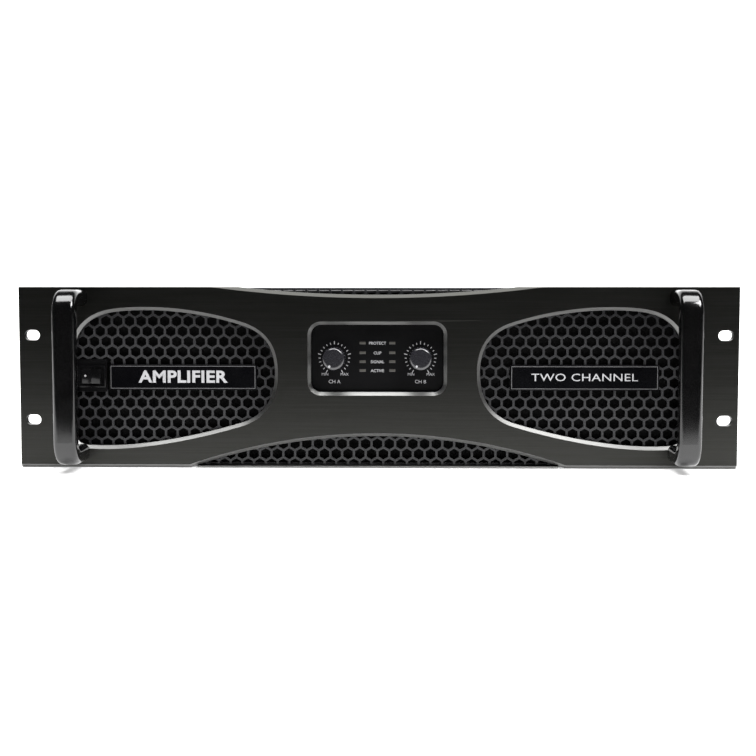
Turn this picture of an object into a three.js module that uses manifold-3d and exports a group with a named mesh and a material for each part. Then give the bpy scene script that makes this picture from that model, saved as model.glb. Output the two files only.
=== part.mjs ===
// A two-channel rack-mount power amplifier, built as an assembly of separate pieces.
// Units are millimetres. Facing the front panel, +X is to the right, +Z is up and +Y runs to the rear.
// The pieces are placed with the front face of the panel at y = 0 and the underside at z = 0, and the
// whole group is then slid along Y so that the origin is the middle of the bounding box in plan.
import * as THREE from "three";
import { mergeVertices } from "three/addons/utils/BufferGeometryUtils.js";
import Module from "manifold-3d";

const wasm = await Module();
wasm.setup();

// ---- driving dimensions -------------------------------------------------------------------------

const GAP = 0.3; // clearance left between pieces that touch

const PANEL = { width: 482.6, height: 122, thickness: 6, chamfer: 2.2 };
const EAR_INNER = 223; // half the width of the part of the panel that hides the chassis
const RACK_SLOT = { width: 10.3, height: 7, spacingX: 465.1, spacingZ: 57.15 };
const TOP_ARC = { halfWidth: 112, depth: 7.4 };
const BOTTOM_ARC = { halfWidth: 133, depth: 23.7 };
const MIDDLE = PANEL.height / 2;

const CONTROL_WINDOW = { width: 93.7, height: 49.8, z: 74, corner: 9 };
const CONTROL_PANEL = { width: 104, height: 58, thickness: 2 };
const KNOB = { x: 29.1, diameter: 15.5, front: -8, back: 5.6, shaft: 6 };
const LAMP = { x: 10, width: 4.4, height: 2, levels: [84.2, 77.6, 71.6, 65.6] };

const HANDLE = { x: 202.5, z: 62.6, width: 15.2, depth: 11, reach: 38, height: 115.2, bend: 13, edge: 3 };
const HANDLE_BOLT = { diameter: 5, spacing: 104.2, head: 9.5 };

const GRILLE = { width: 436, thickness: 2, top: 121.4, bottom: 1.5 };
const LOWER_TRIM = { width: 244, height: 1.2, front: 0.4 };
const FILTER = { width: 430, thickness: 5, bottom: 2.2, top: 117.4 };
const SWITCH = { x: -193.8, z: 61.5, width: 19, height: 15, bodyWidth: 16.6, bodyHeight: 12.8, depth: 22 };
const ROCKER = { width: 14.4, height: 10.2, travel: 20 };
const NAMEPLATE = { width: 100, height: 17.2, thickness: 2, z: 61, xs: [-131.6, 139.3] };

const SHEET = 1.5; // thickness of the folded steel
const CHASSIS = { width: 440, length: 380, height: 119.5, lip: 3, flange: 11 };

const FAN = { x: 140, z: 60, size: 80, depth: 25, bore: 76, hub: 34, blades: 7, holePitch: 71.5 };

const HEATSINK = { inner: 108, base: 6, outer: 178, fins: 9, fin: 2.2, low: 20, high: 100, y: [60, 290] };
const TRANSFORMER = { y: 135, z: 4, diameter: 134, height: 60, bore: 34 };
const SUPPLY = { y: [225, 335], width: 150, z: 9, thickness: 1.6 };
const CAPACITOR = { diameter: 35, height: 62, xs: [-44, 44], ys: [253, 307] };

// Rear panel fittings, as positions in the rear view plane.
const SOCKET = { width: 26, height: 31, flange: 2.5, barrel: 23.4, depth: 20 };
const INPUTS = [85, 53];
const OUTPUTS = [12, -20];
const SOCKET_Z = 82;
const INLET = { x: -72, z: 40, width: 48, height: 28, throat: [24.5, 16.5], body: [28, 20], depth: 24 };
const BREAKER = { x: -72, z: 84, collar: 16, body: [14, 26], depth: 26, button: 8, travel: 3 };
const MODE = { x: 69, z: 42, plate: [24, 9], slot: [11, 4.6], slider: [4.4, 3.8], travel: 3 };

const PANEL_BACK = PANEL.thickness;
const GRILLE_FRONT = PANEL_BACK + GAP;
const GRILLE_BACK = GRILLE_FRONT + GRILLE.thickness;
const CHASSIS_FRONT = GRILLE_BACK + GAP;
const REAR_OUT = CHASSIS_FRONT + CHASSIS.length; // outer face of the rear panel
const REAR_IN = REAR_OUT - SHEET;
const POST = { stem: 4, cap: 13, capLength: 17, pitch: 19, x: -4, z: 36, standOff: 5.5 };
const REAR_REACH = REAR_OUT + POST.standOff + POST.capLength;

const COLOURS = {
  anodised: [0x3a3a37, 0.42, 0.9],
  grilleBlack: [0x1b1c1e, 0.55, 0.3],
  chassisPaint: [0x191a1c, 0.6, 0.3],
  blackPlastic: [0x131315, 0.5, 0],
  controlBlack: [0x0e0e10, 0.4, 0],
  knobPlastic: [0x242428, 0.45, 0],
  handlePaint: [0x101012, 0.4, 0.3],
  nameplateBlack: [0x121214, 0.3, 0],
  lens: [0x55534c, 0.3, 0],
  foam: [0x0c0c0d, 0.95, 0],
  board: [0x1d5c36, 0.5, 0],
  aluminium: [0xa9adb0, 0.45, 0.9],
  steel: [0x8f9498, 0.35, 1],
  winding: [0xc98a3a, 0.35, 0.1],
  capacitorSleeve: [0x1c2638, 0.3, 0],
  redPlastic: [0xa31516, 0.4, 0],
  blackCap: [0x1a1a1c, 0.4, 0],
};

// ---- solids ---------------------------------------------------------------------------------------

// A closed three.js geometry as a solid that can be joined and cut.
function solid(geometry) {
  const bare = geometry.clone();
  bare.deleteAttribute("normal");
  bare.deleteAttribute("uv");
  const merged = mergeVertices(bare, 1e-4);
  const kept = [];
  for (let i = 0; i < merged.index.count; i += 3) {
    const [a, b, c] = [0, 1, 2].map((k) => merged.index.getX(i + k));
    if (a !== b && b !== c && a !== c) kept.push(a, b, c);
  }
  return new wasm.Manifold(
    new wasm.Mesh({
      numProp: 3,
      vertProperties: merged.attributes.position.array,
      triVerts: new Uint32Array(kept),
    }),
  );
}

const join = (first, ...rest) => rest.flat().reduce((whole, piece) => whole.add(piece), first);
const cut = (first, ...rest) => rest.flat().reduce((whole, tool) => whole.subtract(tool), first);

function box(x0, x1, y0, y1, z0, z1) {
  const geometry = new THREE.BoxGeometry(x1 - x0, y1 - y0, z1 - z0);
  return solid(geometry.translate((x0 + x1) / 2, (y0 + y1) / 2, (z0 + z1) / 2));
}

// A box of a given width and height about a point of the front view, between two depths.
function block(x, z, width, height, y0, y1) {
  return box(x - width / 2, x + width / 2, y0, y1, z - height / 2, z + height / 2);
}

// A rod whose axis runs along Y, between two depths.
function rodY(x, z, diameter, y0, y1, sides = 24) {
  const geometry = new THREE.CylinderGeometry(diameter / 2, diameter / 2, y1 - y0, sides);
  return solid(geometry.translate(x, (y0 + y1) / 2, z));
}

// A rod whose axis runs along Z, between two heights.
function rodZ(x, y, diameter, z0, z1, sides = 24) {
  const geometry = new THREE.CylinderGeometry(diameter / 2, diameter / 2, z1 - z0, sides);
  return solid(geometry.rotateX(Math.PI / 2).translate(x, y, (z0 + z1) / 2));
}

// An outline drawn in the front view (x, z), extruded between two depths.
function slab(shape, y0, y1, options = {}) {
  const geometry = new THREE.ExtrudeGeometry(shape, {
    depth: y1 - y0,
    bevelEnabled: false,
    curveSegments: 10,
    ...options,
  });
  return solid(geometry.rotateX(Math.PI / 2).translate(0, y1, 0));
}

// An outline drawn from above (x, y), extruded between two heights.
function layer(shape, z0, z1, curveSegments = 10) {
  const geometry = new THREE.ExtrudeGeometry(shape, {
    depth: z1 - z0,
    bevelEnabled: false,
    curveSegments,
  });
  return solid(geometry.translate(0, 0, z0));
}

// The same, laid along Y: heights run towards the front.
function turnedY(x, z, y0, profile, sides = 32) {
  const points = profile.map(([radius, height]) => new THREE.Vector2(radius, height));
  return solid(new THREE.LatheGeometry(points, sides).rotateX(Math.PI).translate(x, y0, z));
}

// Measures across the case are taken outwards from the middle, so both sides share one description.
function across(side, near, far, y0, y1, z0, z1) {
  return box(Math.min(side * near, side * far), Math.max(side * near, side * far), y0, y1, z0, z1);
}

function roundedRectangle(x, z, width, height, radius) {
  const [left, right] = [x - width / 2, x + width / 2];
  const [low, high] = [z - height / 2, z + height / 2];
  const quarter = Math.PI / 2;
  const shape = new THREE.Shape();
  shape.moveTo(left + radius, low);
  shape.lineTo(right - radius, low);
  shape.absarc(right - radius, low + radius, radius, -quarter, 0, false);
  shape.lineTo(right, high - radius);
  shape.absarc(right - radius, high - radius, radius, 0, quarter, false);
  shape.lineTo(left + radius, high);
  shape.absarc(left + radius, high - radius, radius, quarter, 2 * quarter, false);
  shape.lineTo(left, low + radius);
  shape.absarc(left + radius, low + radius, radius, 2 * quarter, 3 * quarter, false);
  return shape;
}

function polygon(points) {
  return new THREE.Shape(points.map(([u, v]) => new THREE.Vector2(u, v)));
}

// A tube whose axis runs along Y.
function tubeY(x, z, outer, inner, y0, y1, sides = 32) {
  return rodY(x, z, outer, y0, y1, sides).subtract(rodY(x, z, inner, y0 - 1, y1 + 1, sides));
}

// ---- the assembly ---------------------------------------------------------------------------------

const amplifier = new THREE.Group();
amplifier.position.y = (HANDLE.reach - REAR_REACH) / 2;

function add(name, piece, colour) {
  const { vertProperties, triVerts, numProp } = piece.getMesh();
  const corners = new THREE.InterleavedBuffer(vertProperties, numProp);
  const indexed = new THREE.BufferGeometry();
  indexed.setAttribute("position", new THREE.InterleavedBufferAttribute(corners, 3, 0));
  indexed.setIndex(new THREE.BufferAttribute(triVerts, 1));
  const geometry = indexed.toNonIndexed();
  geometry.computeVertexNormals();
  const [color, roughness, metalness] = COLOURS[colour];
  const mesh = new THREE.Mesh(geometry, new THREE.MeshStandardMaterial({ color, roughness, metalness }));
  mesh.name = name;
  amplifier.add(mesh);
}

// ---- front panel ----------------------------------------------------------------------------------

// The leaf-shaped window. The side is -1 for the left window and 1 for the right one.
function leafWindow(side) {
  const shape = new THREE.Shape();
  const curve = (...numbers) =>
    shape.bezierCurveTo(...numbers.map((value, i) => (i % 2 ? value : side * value)));
  shape.moveTo(side * 66.8, 64);
  curve(66.8, 82, 74, 92, 88, 97.5);
  curve(110, 105, 135, 108.6, 155, 108.6);
  curve(172, 108.6, 183, 107.4, 190, 103.9);
  curve(199.5, 99.4, 206, 91, 206, 80);
  shape.lineTo(side * 206, 22);
  curve(206, 16, 202, 13, 194, 12.8);
  curve(165, 11.2, 128, 17.4, 92, 28);
  curve(75, 33, 66.8, 46, 66.8, 64);
  return shape;
}

// The region between an arched cut and a line well outside the panel. The side is 1 at the top.
function archRegion({ halfWidth, depth }, edgeZ, side) {
  const radius = (halfWidth ** 2 + depth ** 2) / (2 * depth);
  const apexZ = edgeZ - side * depth;
  const far = edgeZ + side * 20;
  const reach = Math.sqrt(radius ** 2 - (radius - Math.abs(far - apexZ)) ** 2);
  const points = [];
  for (let i = 0; i <= 18; i++) {
    const u = reach * (1 - i / 9);
    points.push([u, apexZ + side * (radius - Math.sqrt(radius ** 2 - u ** 2))]);
  }
  return polygon(points);
}

// A cutter that takes an outline through the panel and chamfers its front edge.
function chamferedCutter(shape, curveSegments) {
  const { chamfer, thickness } = PANEL;
  return slab(shape, chamfer, thickness + 5, {
    bevelEnabled: true,
    bevelThickness: chamfer,
    bevelSize: -chamfer,
    bevelSegments: 1,
    curveSegments,
  });
}

const rackSlots = [-1, 1].flatMap((side) =>
  [-1, 1].map((level) => [
    (side * RACK_SLOT.spacingX) / 2,
    MIDDLE + (level * RACK_SLOT.spacingZ) / 2,
  ]),
);

const handleBolts = [-1, 1].flatMap((side) =>
  [-1, 1].map((level) => [side * HANDLE.x, HANDLE.z + (level * HANDLE_BOLT.spacing) / 2]),
);

function frontPanel() {
  const { width, height, z, corner } = CONTROL_WINDOW;
  const blank = block(0, MIDDLE, PANEL.width, PANEL.height, 0, PANEL.thickness);
  const windows = [-1, 1].map((side) => chamferedCutter(leafWindow(side), 5));
  const middle = chamferedCutter(roundedRectangle(0, z, width, height, corner), 4);
  const arches = [
    chamferedCutter(archRegion(TOP_ARC, PANEL.height, 1)),
    chamferedCutter(archRegion(BOTTOM_ARC, 0, -1)),
  ];
  const slots = rackSlots.map(([x, slotZ]) => {
    const corner = RACK_SLOT.height / 2 - 0.01;
    const outline = roundedRectangle(x, slotZ, RACK_SLOT.width, RACK_SLOT.height, corner);
    return slab(outline, -1, PANEL.thickness + 1, { curveSegments: 3 });
  });
  const bolts = handleBolts.map(([x, boltZ]) => {
    return rodY(x, boltZ, HANDLE_BOLT.diameter + 0.4, -1, PANEL.thickness + 1, 12);
  });
  // The back is relieved between the ears, so the ears bear on the rack rails by themselves.
  const relief = block(0, MIDDLE, 2 * EAR_INNER, PANEL.height + 2, PANEL.thickness - 0.2, 20);
  return cut(blank, windows, middle, arches, slots, bolts, relief);
}

function grille() {
  const { width, top, bottom } = GRILLE;
  const sheet = box(-width / 2, width / 2, GRILLE_FRONT, GRILLE_BACK, bottom, top);
  const { z } = CONTROL_WINDOW;
  const opening = block(0, z, CONTROL_PANEL.width + 0.6, CONTROL_PANEL.height + 0.6, 0, 20);
  const forSwitch = block(SWITCH.x, SWITCH.z, SWITCH.bodyWidth + 0.6, SWITCH.bodyHeight + 0.6, 0, 20);
  const forBolts = handleBolts.map(([x, boltZ]) => rodY(x, boltZ, HANDLE_BOLT.head + 1.4, 0, 20, 12));
  return cut(sheet, opening, forSwitch, forBolts);
}

// The foam dust filter behind the grille, open around the controls and the power switch.
function dustFilter() {
  const { width, thickness, bottom, top } = FILTER;
  const front = CHASSIS_FRONT + 3;
  const sheet = box(-width / 2, width / 2, front, front + thickness, bottom, top);
  const controls = box(-54, 54, front - 1, front + 9, 43, 120);
  const forSwitch = block(SWITCH.x, SWITCH.z, SWITCH.bodyWidth + 1, SWITCH.bodyHeight + 1, 0, 30);
  return cut(sheet, controls, forSwitch);
}

// A thin strip that closes the bottom of the lower arch, under the grille.
function lowerTrim() {
  const { width, height, front } = LOWER_TRIM;
  return box(-width / 2, width / 2, front, CHASSIS_FRONT - GAP, 0, height);
}

function nameplate(x) {
  const { width, height, thickness, z } = NAMEPLATE;
  return block(x, z, width, height, PANEL_BACK - thickness, PANEL_BACK);
}

// ---- handles --------------------------------------------------------------------------------------

// The handle's side profile is drawn as (front reach, height) and given its width along X.
function handle(x) {
  const { width, depth, reach, height, bend, edge } = HANDLE;
  const half = height / 2 - edge;
  const nose = reach - edge;
  const foot = GAP - edge;
  const inner = bend - 5;
  const shape = new THREE.Shape();
  const quarter = Math.PI / 2;
  const inside = nose - depth + 2 * edge;
  const insideHalf = half - depth + 2 * edge;
  shape.moveTo(foot, -half);
  shape.absarc(nose - bend, -half + bend, bend, -quarter, 0, false);
  shape.absarc(nose - bend, half - bend, bend, 0, quarter, false);
  shape.lineTo(foot, half);
  shape.lineTo(foot, insideHalf);
  shape.absarc(inside - inner, insideHalf - inner, inner, quarter, 0, true);
  shape.absarc(inside - inner, -insideHalf + inner, inner, 0, -quarter, true);
  shape.lineTo(foot, -insideHalf);
  const geometry = new THREE.ExtrudeGeometry(shape, {
    depth: width - 2 * edge,
    bevelEnabled: true,
    bevelThickness: edge,
    bevelSize: edge,
    bevelSegments: 2,
    curveSegments: 4,
  });
  geometry.rotateX(Math.PI / 2);
  geometry.rotateZ(-Math.PI / 2);
  const bar = solid(geometry);
  const bounds = bar.boundingBox();
  const centred = bar.translate([
    x - (bounds.min[0] + bounds.max[0]) / 2,
    -reach - bounds.min[1],
    HANDLE.z - (bounds.min[2] + bounds.max[2]) / 2,
  ]);
  return box(x - 20, x + 20, -reach - 5, -GAP, -5, PANEL.height + 5).intersect(centred);
}

// ---- control panel --------------------------------------------------------------------------------

const knobSides = [-1, 1];
const CONTROL_Z = CONTROL_WINDOW.z;

function controlPanel() {
  const plate = block(
    0,
    CONTROL_Z,
    CONTROL_PANEL.width,
    CONTROL_PANEL.height,
    GRILLE_FRONT,
    GRILLE_FRONT + CONTROL_PANEL.thickness,
  );
  const lamps = knobSides.flatMap((side) =>
    LAMP.levels.map((z) => block(side * LAMP.x, z, LAMP.width + 0.6, LAMP.height + 0.6, 0, 20)),
  );
  const shafts = knobSides.map((side) => rodY(side * KNOB.x, CONTROL_Z, KNOB.shaft + 1.6, 0, 20));
  return cut(plate, lamps, shafts);
}

function gainKnob(x) {
  const { diameter, front, back, shaft } = KNOB;
  const radius = diameter / 2;
  const length = back - front;
  const outline = [
    [0, 0],
    [radius, 0],
    [radius - 0.2, length - 1.2],
    [radius - 1.2, length],
    [0, length],
  ];
  const bore = rodY(x, CONTROL_Z, shaft + 2 * GAP, front + 3, back + 1);
  return turnedY(x, CONTROL_Z, back, outline, 28).subtract(bore);
}

function gainShaft(x) {
  return rodY(x, CONTROL_Z, KNOB.shaft, KNOB.front + 3 + GAP, CHASSIS_FRONT + 3.2);
}

function gainPot(x) {
  const start = CHASSIS_FRONT;
  const body = join(
    rodY(x, CONTROL_Z, 10, start, start + 4),
    block(x, CONTROL_Z, 18, 20, start + 3.8, start + 12),
  );
  return body.subtract(rodY(x, CONTROL_Z, KNOB.shaft + 2 * GAP, start - 1, start + 3.5));
}

function lightPipe(side) {
  const x = side * LAMP.x;
  const [high, low] = [LAMP.levels[0], LAMP.levels.at(-1)];
  const strip = box(x - 3, x + 3, CHASSIS_FRONT, CHASSIS_FRONT + 3, low - 3, high + 3);
  const lenses = LAMP.levels.map((z) =>
    block(x, z, LAMP.width, LAMP.height, GRILLE_FRONT - 0.2, CHASSIS_FRONT + 0.1),
  );
  return join(strip, lenses);
}

function controlBoard() {
  const y = CHASSIS_FRONT + 12 + GAP;
  const board = block(0, CONTROL_Z, 96, 52, y, y + 1.6);
  const chips = [-30, -10, 10, 30].map((x) => block(x, CONTROL_Z - 14, 10, 6, y + 1.5, y + 4.1));
  return join(board, chips, block(0, CONTROL_Z + 16, 30, 6, y + 1.5, y + 9));
}

// ---- power switch ---------------------------------------------------------------------------------

const SWITCH_PIVOT_Y = PANEL_BACK;

function switchBody() {
  const { x, z, width, height, bodyWidth, bodyHeight, depth } = SWITCH;
  const bezel = block(x, z, width, height, PANEL_BACK - 1.6, PANEL_BACK);
  const case_ = block(x, z, bodyWidth, bodyHeight, PANEL_BACK - 0.1, PANEL_BACK + depth);
  const well = block(x, z, ROCKER.width + 1.4, ROCKER.height + 0.8, -5, PANEL_BACK + 8);
  const tabs = [-6, 0, 6].map((dx) => {
    return block(x + dx, z, 0.8, 4.8, PANEL_BACK + depth - 0.1, PANEL_BACK + depth + 8);
  });
  return join(cut(join(bezel, case_), well), tabs);
}

// The rocker is drawn from above as a shallow V and turned so that its right half stands out: off.
function rocker() {
  const { x, z } = SWITCH;
  const half = ROCKER.width / 2 - 0.6;
  const outline = polygon([
    [-half, -2.4],
    [0, -1.2],
    [half, -2.4],
    [half, 0.4],
    [2.5, 4.2],
    [-2.5, 4.2],
    [-half, 0.4],
  ]);
  const low = z - ROCKER.height / 2;
  return layer(outline, low, low + ROCKER.height)
    .rotate([0, 0, -ROCKER.travel / 2])
    .translate([x, SWITCH_PIVOT_Y, 0]);
}

// ---- chassis --------------------------------------------------------------------------------------

const HALF = CHASSIS.width / 2;
const COVER_LOW = CHASSIS.height - SHEET;
const SIDE_TOP = COVER_LOW - GAP;

// The pan is a tray: a block hollowed from above and behind, with its front wall cut down to a lip
// and two narrow flanges that the front panel screws to.
function chassisPan() {
  const back = REAR_IN - GAP;
  const inner = HALF - SHEET;
  const flange = HALF - CHASSIS.flange;
  const blank = box(-HALF, HALF, CHASSIS_FRONT, back, 0, SIDE_TOP);
  const hollow = box(-inner, inner, CHASSIS_FRONT + SHEET, back + 9, SHEET, SIDE_TOP + 9);
  const mouth = box(-flange, flange, CHASSIS_FRONT - 9, CHASSIS_FRONT + 9, CHASSIS.lip, SIDE_TOP + 9);
  const vents = Array.from({ length: 9 }, (_, i) => {
    const y = 70 + i * 16;
    return [-1, 1].map((side) => across(side, HALF - 5, HALF + 5, y, y + 3.6, 25, 85));
  });
  return cut(blank, hollow, mouth, vents.flat());
}

// The cover is a shallow inverted tray, open at the front and rear.
function topCover() {
  const outer = HALF + GAP + SHEET;
  const low = COVER_LOW - 17;
  const blank = box(-outer, outer, CHASSIS_FRONT, REAR_OUT, low, CHASSIS.height);
  const hollow = box(SHEET - outer, outer - SHEET, CHASSIS_FRONT - 9, REAR_OUT + 9, low - 9, COVER_LOW);
  const vents = Array.from({ length: 8 }, (_, i) => {
    const y = 84 + i * 13;
    return [-1, 1].map((side) => across(side, 118, 172, y, y + 3.6, 100, 120));
  });
  return cut(blank, hollow, vents.flat());
}

const posts = [0, 1, 2, 3].map((i) => POST.x + (1.5 - i) * POST.pitch);

function rearPanel() {
  const panel = box(-HALF, HALF, REAR_IN, REAR_OUT, 0, SIDE_TOP);
  const through = (x, z, width, height) => block(x, z, width, height, REAR_IN - 9, REAR_OUT + 9);
  const fans = [-1, 1].map((side) => rodY(side * FAN.x, FAN.z, FAN.bore, REAR_IN - 9, REAR_OUT + 9, 24));
  const sockets = [...INPUTS, ...OUTPUTS].map((x) =>
    rodY(x, SOCKET_Z, SOCKET.barrel + 1.2, REAR_IN - 9, REAR_OUT + 9, 16),
  );
  const terminals = through(POST.x, POST.z, 3 * POST.pitch + 10, 10);
  const inlet = through(INLET.x, INLET.z, INLET.body[0] + 0.8, INLET.body[1] + 0.8);
  const breaker = rodY(BREAKER.x, BREAKER.z, 11.8, REAR_IN - 9, REAR_OUT + 9);
  const mode = through(MODE.x, MODE.z, MODE.slot[0] + 0.6, MODE.slot[1] + 0.6);
  return cut(panel, fans, sockets, terminals, inlet, breaker, mode);
}

// ---- cooling --------------------------------------------------------------------------------------

const FAN_BACK = REAR_IN - GAP;
const FAN_FRONT = FAN_BACK - FAN.depth;

function fanFrame(x) {
  const { z, size, bore, holePitch } = FAN;
  const outline = roundedRectangle(x, z, size, size, 4);
  const shell = slab(outline, FAN_FRONT, FAN_BACK, { curveSegments: 3 });
  const tunnel = rodY(x, z, bore, FAN_FRONT - 1, FAN_BACK + 1, 24);
  const corners = [-1, 1].flatMap((u) => [-1, 1].map((w) => [(u * holePitch) / 2, (w * holePitch) / 2]));
  const holes = corners.map(([u, w]) => rodY(x + u, z + w, 4.3, FAN_FRONT - 1, FAN_BACK + 1, 8));
  const spider = [
    rodY(x, z, FAN.hub, FAN_FRONT, FAN_FRONT + 3, 16),
    block(x, z, bore + 1.5, 4, FAN_FRONT, FAN_FRONT + 3),
    block(x, z, 4, bore + 1.5, FAN_FRONT, FAN_FRONT + 3),
  ];
  return join(cut(shell, tunnel, holes), spider);
}

function fanRotor(x) {
  const { z, hub, blades, bore } = FAN;
  const [front, back] = [FAN_FRONT + 3 + GAP, FAN_BACK - 1.5];
  const blade = box(hub / 2 - 3, bore / 2 - 2, -0.9, 0.9, -14, 14)
    .rotate([40, 0, 0])
    .intersect(box(0, 60, -(back - front) / 2 + 1, (back - front) / 2 - 1, -30, 30));
  const ring = Array.from({ length: blades }, (_, i) =>
    blade.rotate([0, (i * 360) / blades, 0]).translate([x, (front + back) / 2, z]),
  );
  const swept = join(rodY(x, z, hub, front, back, 20), ring);
  return swept.intersect(rodY(x, z, bore - 3, front, back, 24));
}

function fanGuard(x) {
  const { z, holePitch } = FAN;
  const [front, back] = [REAR_OUT + GAP, REAR_OUT + GAP + 2];
  const rings = [76, 50].map((d) => tubeY(x, z, d, d - 4, front, back, 24));
  const hub = rodY(x, z, 24, front, back, 16);
  const arms = [45, 135].map((angle) =>
    block(0, 0, holePitch * Math.SQRT2, 3, front, back).rotate([0, angle, 0]).translate([x, 0, z]),
  );
  const corners = [-1, 1].flatMap((u) => [-1, 1].map((w) => [x + (u * holePitch) / 2, z + (w * holePitch) / 2]));
  const ears = corners.map(([u, w]) => rodY(u, w, 9, front, back, 8));
  const holes = corners.map(([u, w]) => rodY(u, w, 4.3, front - 1, back + 1, 8));
  return cut(join(hub, rings, arms, ears), holes);
}

// ---- rear fittings --------------------------------------------------------------------------------

// Square-flanged sockets. An input has three contact holes; an output has a ring-shaped keyway.
function socket(x, isInput) {
  const front = REAR_OUT + GAP;
  const outline = roundedRectangle(x, SOCKET_Z, SOCKET.width, SOCKET.height, 3);
  const flange = slab(outline, front, front + SOCKET.flange, { curveSegments: 3 });
  const barrel = rodY(x, SOCKET_Z, SOCKET.barrel, REAR_OUT - SOCKET.depth, front + 0.1, 20);
  const fixings = [-1, 1].map((side) =>
    rodY(x + side * 9.5, SOCKET_Z - side * 12, 3.2, front - 1, front + 9, 8),
  );
  const recess = isInput
    ? [
        tubeY(x, SOCKET_Z, 19, 15.6, front - 12, front + 9, 20),
        ...[90, 210, 330].map((angle) => {
          const radians = (angle * Math.PI) / 180;
          const [u, w] = [3.8 * Math.cos(radians), 3.8 * Math.sin(radians)];
          return rodY(x + u, SOCKET_Z + w, 2.6, front - 12, front + 9, 8);
        }),
      ]
    : [tubeY(x, SOCKET_Z, 20, 12.6, front - 14, front + 9, 20)];
  return cut(join(flange, barrel), fixings, recess);
}

function postBlock() {
  const front = REAR_OUT + GAP;
  const outline = roundedRectangle(POST.x, POST.z, 3 * POST.pitch + 26, 24, 3);
  const plate = slab(outline, front, REAR_OUT + POST.standOff - GAP, { curveSegments: 3 });
  const shoulder = block(POST.x, POST.z, 3 * POST.pitch + 9, 9, REAR_IN - 6, front + 0.1);
  const stems = posts.map((x) => rodY(x, POST.z, POST.stem, REAR_IN - 14, REAR_REACH - 5, 12));
  return join(plate, shoulder, stems);
}

function postCap(x) {
  const back = REAR_OUT + POST.standOff;
  const radius = POST.cap / 2;
  const { capLength } = POST;
  const flutes = Array.from({ length: 8 }, (_, i) => {
    const angle = (i * Math.PI) / 4;
    const [u, w] = [(radius + 0.7) * Math.cos(angle), (radius + 0.7) * Math.sin(angle)];
    return rodY(x + u, POST.z + w, 3, back + 5, back + capLength + 1, 6);
  });
  const bore = rodY(x, POST.z, POST.stem + 2 * GAP, back - 1, REAR_REACH - 5 + GAP, 12);
  return cut(rodY(x, POST.z, POST.cap, back, back + capLength, 24), flutes, bore);
}

function mainsInlet() {
  const { x, z, width, height, throat, body, depth } = INLET;
  const front = REAR_OUT + GAP;
  const flange = slab(roundedRectangle(x, z, width, height, 6), front, front + 3, { curveSegments: 4 });
  const case_ = block(x, z, body[0], body[1], REAR_OUT - depth, front + 0.1);
  const well = block(x, z, throat[0], throat[1], front - 15, front + 9);
  const screws = [-1, 1].map((side) => rodY(x + side * 20, z, 3.4, front - 1, front + 9, 12));
  const pins = [[-7, -1], [0, 3], [7, -1]].map(([u, w]) => block(x + u, z + w, 2, 4, front - 15.1, front - 1));
  return join(cut(join(flange, case_), well, screws), pins);
}

function breakerBody() {
  const { x, z, collar, body, depth, button } = BREAKER;
  const front = REAR_OUT + GAP;
  const nut = rodY(x, z, collar, front, front + 3, 6);
  const bush = rodY(x, z, 11, REAR_IN - 1.4, front + 4, 24);
  const case_ = block(x, z - 4, body[0], body[1], REAR_IN - depth, REAR_IN - GAP - 1);
  const bore = rodY(x, z, button + 2 * GAP, REAR_IN - 8, front + 9, 24);
  return cut(join(nut, bush, case_), bore);
}

function breakerButton() {
  const { x, z, button } = BREAKER;
  return turnedY(x, z, REAR_IN - 7.5, [
    [0, 0],
    [button / 2, 0],
    [button / 2, -17],
    [button / 2 - 1, -18],
    [0, -18],
  ].reverse(), 24);
}

function modeBody() {
  const { x, z, plate, slot } = MODE;
  const back = REAR_IN - GAP;
  const case_ = block(x, z, plate[0], plate[1], back - 9, back);
  return cut(case_, block(x, z, slot[0], slot[1], back - 6, back + 5));
}

function modeSlider() {
  const { x, z, slider, travel } = MODE;
  return block(x - travel, z, slider[0], slider[1], REAR_IN - GAP - 5.7, REAR_OUT + 2.5);
}

function inputBoard() {
  const y = REAR_OUT - SOCKET.depth - GAP - 1.6;
  const board = box(38, 98, y, y + 1.6, 52, 104);
  const relays = [48, 66, 84].map((x) => box(x, x + 10, y - 10, y + 0.1, 58, 72));
  return join(board, relays);
}

// ---- power supply ---------------------------------------------------------------------------------

function transformer() {
  const { y, z, diameter, height, bore } = TRANSFORMER;
  const [outer, inner] = [diameter / 2, bore / 2];
  const round = 12;
  const profile = [];
  for (const [r, h, from] of [
    [outer - round, round, -90],
    [outer - round, height - round, 0],
    [inner + round, height - round, 90],
    [inner + round, round, 180],
  ]) {
    for (let step = 0; step <= 2; step++) {
      const angle = ((from + step * 45) * Math.PI) / 180;
      profile.push([r + round * Math.cos(angle), h + round * Math.sin(angle)]);
    }
  }
  profile.push(profile[0]);
  const points = profile.map(([r, h]) => new THREE.Vector2(r, h));
  const geometry = new THREE.LatheGeometry(points, 32).rotateX(Math.PI / 2);
  return solid(geometry.translate(0, y, z));
}

function transformerPlate() {
  const { y, z, height, bore } = TRANSFORMER;
  const low = z + height + GAP;
  const disc = rodZ(0, y, 92, low, low + 2.5, 28);
  return disc.subtract(rodZ(0, y, 8.6, low - 1, low + 4, 16)).add(
    rodZ(0, y, bore - 4, low - 6, low + 0.1, 24).subtract(rodZ(0, y, 8.6, low - 7, low + 1, 16)),
  );
}

function transformerBolt() {
  const { y, z, height } = TRANSFORMER;
  const top = z + height + 2 * GAP + 2.5;
  return join(rodZ(0, y, 8, SHEET + GAP, top + 6, 16), rodZ(0, y, 15, top, top + 6.5, 6));
}

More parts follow.
